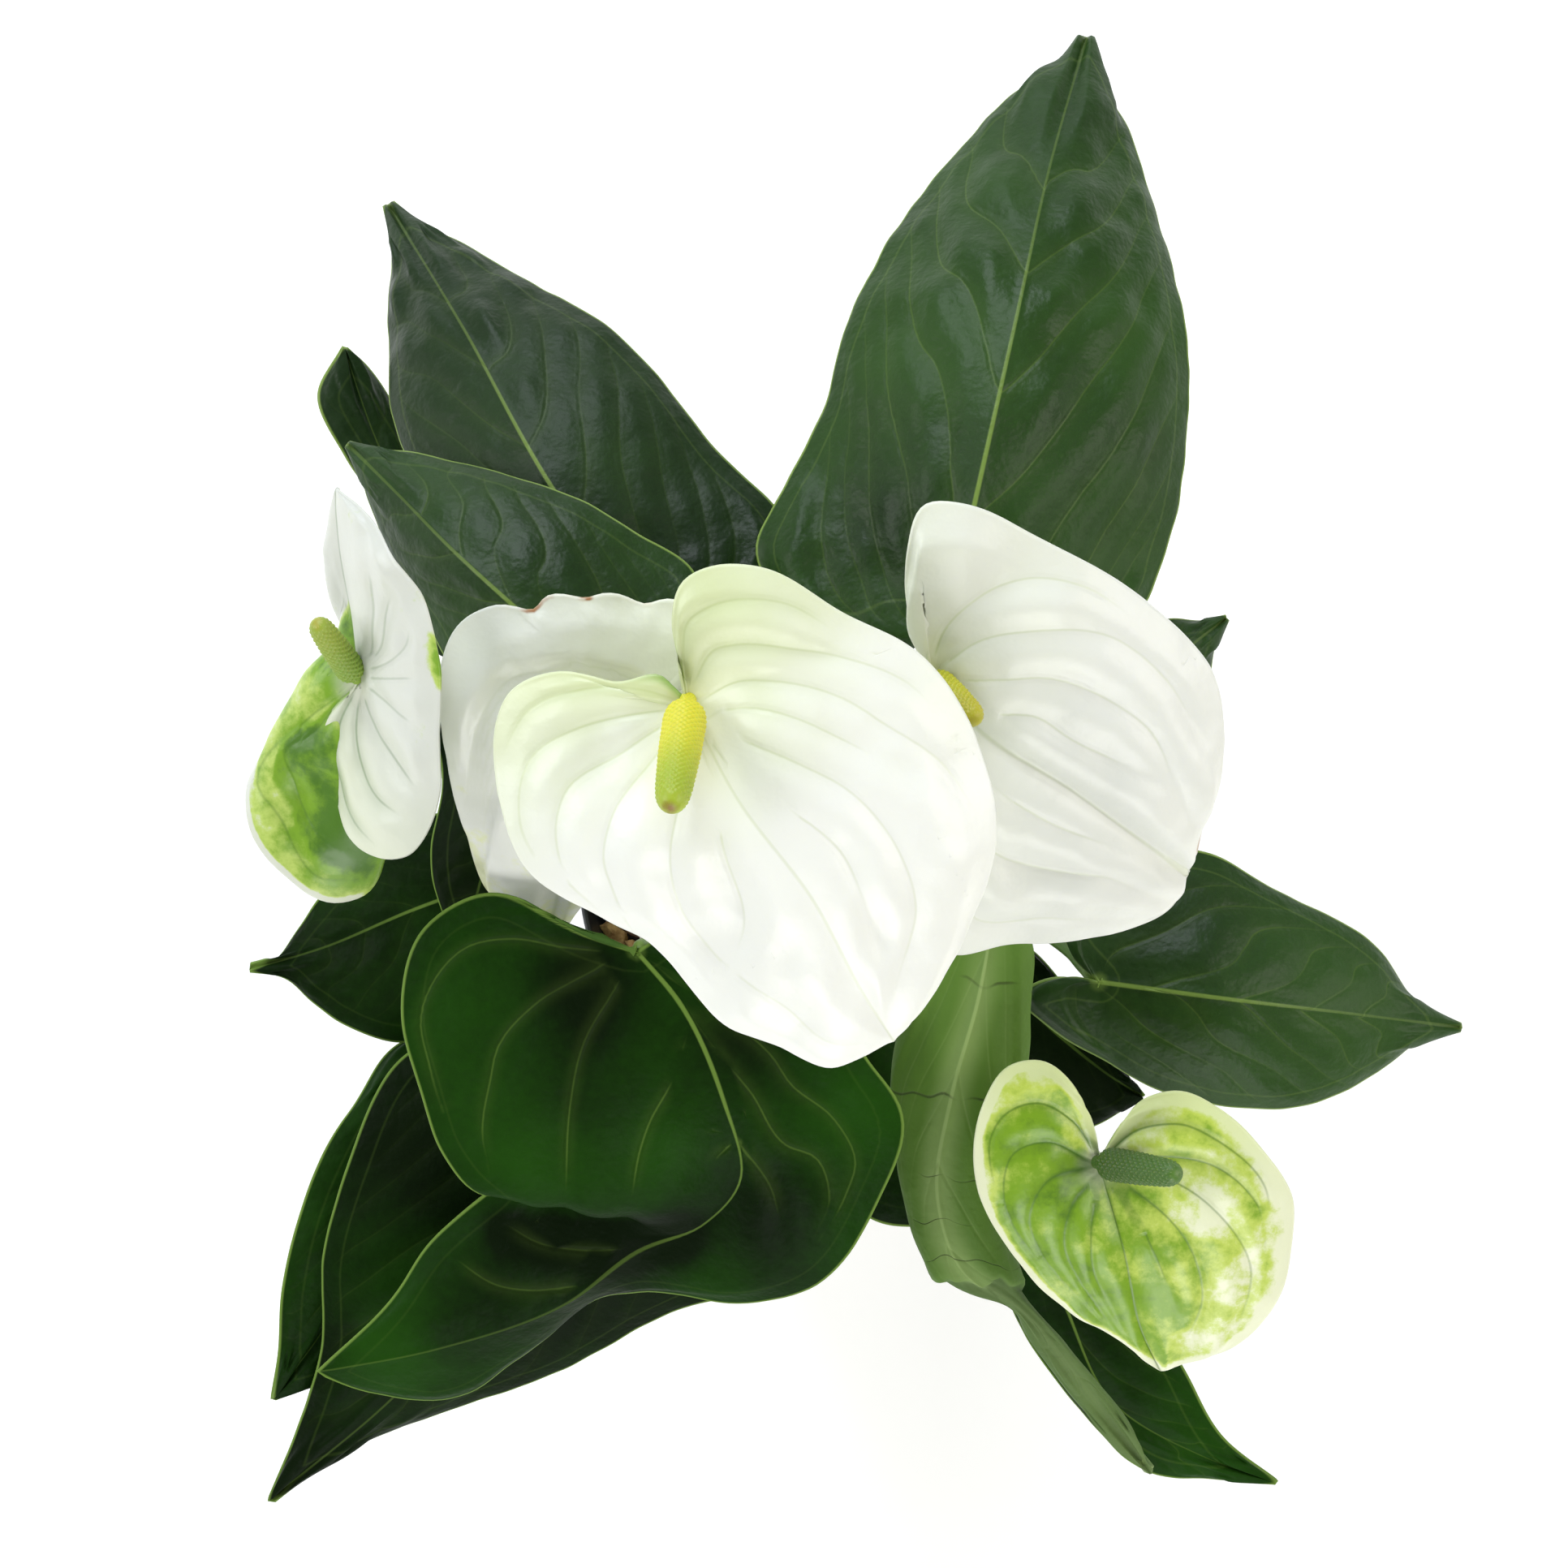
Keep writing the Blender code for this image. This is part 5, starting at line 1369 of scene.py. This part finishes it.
for k in range(DRAIN_HOLES):
    a = 2 * math.pi * (k + 0.5) / DRAIN_HOLES
    x, y = DRAIN_RING * MM * math.cos(a), DRAIN_RING * MM * math.sin(a)
    bpy.ops.mesh.primitive_cylinder_add(vertices=48, radius=DRAIN_R * MM, depth=DRILL_LENGTH * MM,
                                        location=(x, y, 0.0))
    drill = bpy.context.object
    cut = pot.modifiers.new("drain", "BOOLEAN")
    cut.object, cut.solver = drill, "EXACT"
    drills.append(drill)
turned = bpy.data.meshes.new_from_object(pot.evaluated_get(bpy.context.evaluated_depsgraph_get()))
pot.modifiers.clear()
pot.data = turned
for drill in drills:
    bpy.data.objects.remove(drill, do_unlink=True)
pot.data.set_sharp_from_angle(angle=math.radians(50))
stand_for(pot, "pot")
print("pot faces:", len(pot.data.polygons))

# %% [markdown]
# ## Soil
#
# Aroids grow in an open mix: dark peat, chunks of pine bark up to about 13 mm, and white perlite that
# keeps it airy. The mix lies a centimetre under the rim. The peat is one rough surface, and the chips and
# grains are many small crumpled bodies joined in one mesh each, laid flat as watering leaves them, and
# kept off the stems. Pale slivers of split bark lie among them, and three of those have a place of their
# own, where the leaves leave the soil open to view.

# %% The soil
dice = random.Random(11)
FEET = [part["foot"] for part in {**LEAVES, **FLOWERS}.values()]
SOIL_R = RIM_R - 3.4 - POT_WALL - 1.7


def earth_finish(name, dark, light, grain_mm, roughness):
    """A rough crumbly matter, dark in its pores and light on its grains."""
    material, tree, shader = finish_named(name, roughness)
    place = add(tree, "TexCoord", out=3)
    cloud = lumps(tree, place, grain_mm, 5.0, 0.65)
    tone = ramp(tree, cloud, 0.35, 0.7, soft=False)
    tone = mix(tree, tone, dark, light)
    tree.links.new(tone, shader.inputs["Base Color"])
    bumped(tree, shader, cloud, 0.8, 0.8)
    return material


def soil_height(x, y):
    """The height of the uneven peat at a place, lower by the pot's wall."""
    r = math.hypot(x, y)
    lump = noise.noise((x / 9.0, y / 9.0, 0.3)) * 2.0 + noise.noise((x / 3.0, y / 3.0, 1.7)) * 0.9
    return SOIL_TOP + lump - 2.5 * step(np.float64(r), SOIL_R - 6.0, SOIL_R)


def soil_body():
    """A disc of peat on a tapering plug that fills the pot."""
    sides, rings = 160, 60
    verts = [(0.0, 0.0, soil_height(0.0, 0.0))]
    for i in range(1, rings + 1):
        r = SOIL_R * i / rings
        for k in range(sides):
            a = 2 * math.pi * k / sides
            verts.append((r * math.cos(a), r * math.sin(a), soil_height(r * math.cos(a), r * math.sin(a))))
    r, z = POT_BASE_R - POT_WALL - 0.8, BASE_GROOVE + POT_WALL + 0.3
    for k in range(sides):
        a = 2 * math.pi * k / sides
        verts.append((r * math.cos(a), r * math.sin(a), z))
    faces = [(0, 1 + k, 1 + (k + 1) % sides) for k in range(sides)]
    for i in range(rings):
        for k in range(sides):
            a, b = 1 + i * sides + k, 1 + i * sides + (k + 1) % sides
            faces.append((a, a + sides, b + sides, b))
    faces.append(tuple(range(1 + rings * sides, 1 + (rings + 1) * sides)))
    return verts, faces


def crumbs(count, sizes, flatness, shown=()):
    """Crumpled balls laid nearly flat on the soil. The first lie at the shown places: x, y and size."""
    ball = bmesh.new()
    bmesh.ops.create_icosphere(ball, subdivisions=2, radius=1.0)
    shape = np.array([v.co for v in ball.verts])
    tris = [tuple(v.index for v in f.verts) for f in ball.faces]
    ball.free()
    verts, faces = [], []
    while len(faces) < count * len(tris):
        r, a = SOIL_R * math.sqrt(dice.random()) * 0.97, dice.uniform(0, 2 * math.pi)
        x, y = r * math.cos(a), r * math.sin(a)
        size = dice.uniform(*sizes)
        made = len(faces) // len(tris)
        if made < len(shown):
            x, y, size = shown[made]
        else:
            to_stem = min(math.hypot(x - fx, y - fy) for fx, fy in FEET)
            if to_stem < 2.6 + size * 0.45 or r + size * 0.5 > SOIL_R:
                continue
        wide, thick = dice.uniform(0.45, 0.8), flatness * dice.uniform(0.7, 1.3)
        scale = np.array((size / 2, size / 2 * wide, size / 2 * thick))
        seed = dice.uniform(0, 100)
        knob = np.array([noise.noise((v[0] * 1.3 + seed, v[1] * 1.3, v[2] * 1.3)) for v in shape])
        body = np.sign(shape) * np.abs(shape) ** 0.7 * (1.0 + 0.45 * knob)[:, None] * scale
        spin, tilt = dice.uniform(0, 2 * math.pi), dice.uniform(-0.5, 0.5)
        c, s = math.cos(tilt), math.sin(tilt)
        body = body @ np.array([(1, 0, 0), (0, c, s), (0, -s, c)])
        c, s = math.cos(spin), math.sin(spin)
        body = body @ np.array([(c, s, 0), (-s, c, 0), (0, 0, 1)])
        first = len(verts)
        lift = soil_height(x, y) + scale[2] * dice.uniform(0.1, 0.7)
        verts += list(body + np.array((x, y, lift)))
        faces += [tuple(v + first for v in f) for f in tris]
    return verts, faces


peat = piece("peat", *soil_body(), earth_finish("damp_peat", "#120c08", "#2e2018", 1.6, 0.95))
stand_for(peat, "soil")
SHOWN = ((-50.5, -15.0, 9.0), (-45.0, -19.0, 6.0), (-48.0, -8.0, 5.0))
LOOSE = (
    ("bark_chips", 260, (4.0, 13.0), 0.4, (), ("pine_bark", "#2a1a10", "#7a5638", 4.0, 0.85)),
    ("perlite", 90, (1.4, 3.2), 0.8, (), ("perlite_grain", "#cfcabd", "#f0eee6", 1.0, 0.9)),
    ("bark_slivers", 24, (3.0, 6.0), 0.5, SHOWN, ("split_pine_bark", "#8a6236", "#d2ab70", 3.0, 0.85)),
)
for name, count, sizes, flatness, shown, finish in LOOSE:
    loose = piece(name, *crumbs(count, sizes, flatness, shown), earth_finish(*finish), smooth=False)
    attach(loose, "root")
    print(name, "faces:", len(loose.data.polygons))

# %% [markdown]
# ## Studio
#
# The plant stands on a plain pale floor, seen almost straight from above. The floor is matte white
# acrylic, lit a little from below, so that it stays white under the leaves. Broad soft lights all round
# keep the shadows open, and a stronger one behind puts a cool sheen on the leaves that slope away.

# %% The floor, the lights and the camera
bpy.ops.mesh.primitive_plane_add(size=8.0, location=(0.0, 0.0, 0.0))
floor = bpy.context.object
floor.name = "floor"
acrylic, tree, shader = finish_named("white_acrylic_sweep", 0.9, Emission_Color=hexa("#ffffff"),
                                     Emission_Strength=0.1)
fibres = lumps(tree, add(tree, "TexCoord", out=3), 2.5)
tint = mix(tree, fibres, "#fafaf8", "#fefefd")
tree.links.new(tint, shader.inputs["Base Color"])
floor.data.materials.append(acrylic)
floor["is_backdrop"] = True


def softbox(name, place, size, power, tint):
    """A square light that faces the plant's middle."""
    data = bpy.data.lights.new(name, "AREA")
    data.size, data.energy, data.color = size, power, hexa(tint)[:3]
    made = bpy.data.objects.new(name, data)
    bpy.context.collection.objects.link(made)
    made.location = place
    aim = Vector((0.0, 0.0, 0.25)) - Vector(place)
    made.rotation_euler = aim.to_track_quat("-Z", "Y").to_euler()


softbox("back_light", (-0.5, 2.4, 1.9), 1.8, 70.0, "#eef4ff")
softbox("left_light", (-2.4, 0.2, 1.9), 1.8, 46.0, "#ffffff")
softbox("right_light", (2.5, 0.0, 1.8), 1.8, 46.0, "#fffaf2")
softbox("front_light", (0.1, -2.7, 1.3), 1.7, 49.0, "#ffffff")
world = bpy.data.worlds.new("studio")
world.use_nodes = True
world.node_tree.nodes["Background"].inputs["Color"].default_value = hexa("#f4f7fa")
world.node_tree.nodes["Background"].inputs["Strength"].default_value = 0.22
bpy.context.scene.world = world

camera = bpy.data.objects.new("camera", bpy.data.cameras.new("camera"))
bpy.context.collection.objects.link(camera)
camera.location = EYE * MM
camera.rotation_euler = (math.radians(5.0), 0.0, 0.0)
camera.data.sensor_width = 36.0
camera.data.lens = 111.43
bpy.context.scene.camera = camera
bpy.context.scene.view_settings.view_transform = "Standard"
print("camera height:", camera.location.z)

# %% [markdown]
# ## Triangles
#
# The triangles of all the shown pieces are counted and printed.

# %% Sizes and the end
meshes = [made.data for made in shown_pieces() if made.type == "MESH"]
triangles = sum(sum(len(f.vertices) - 2 for f in mesh.polygons) for mesh in meshes)
print("triangles:", triangles)
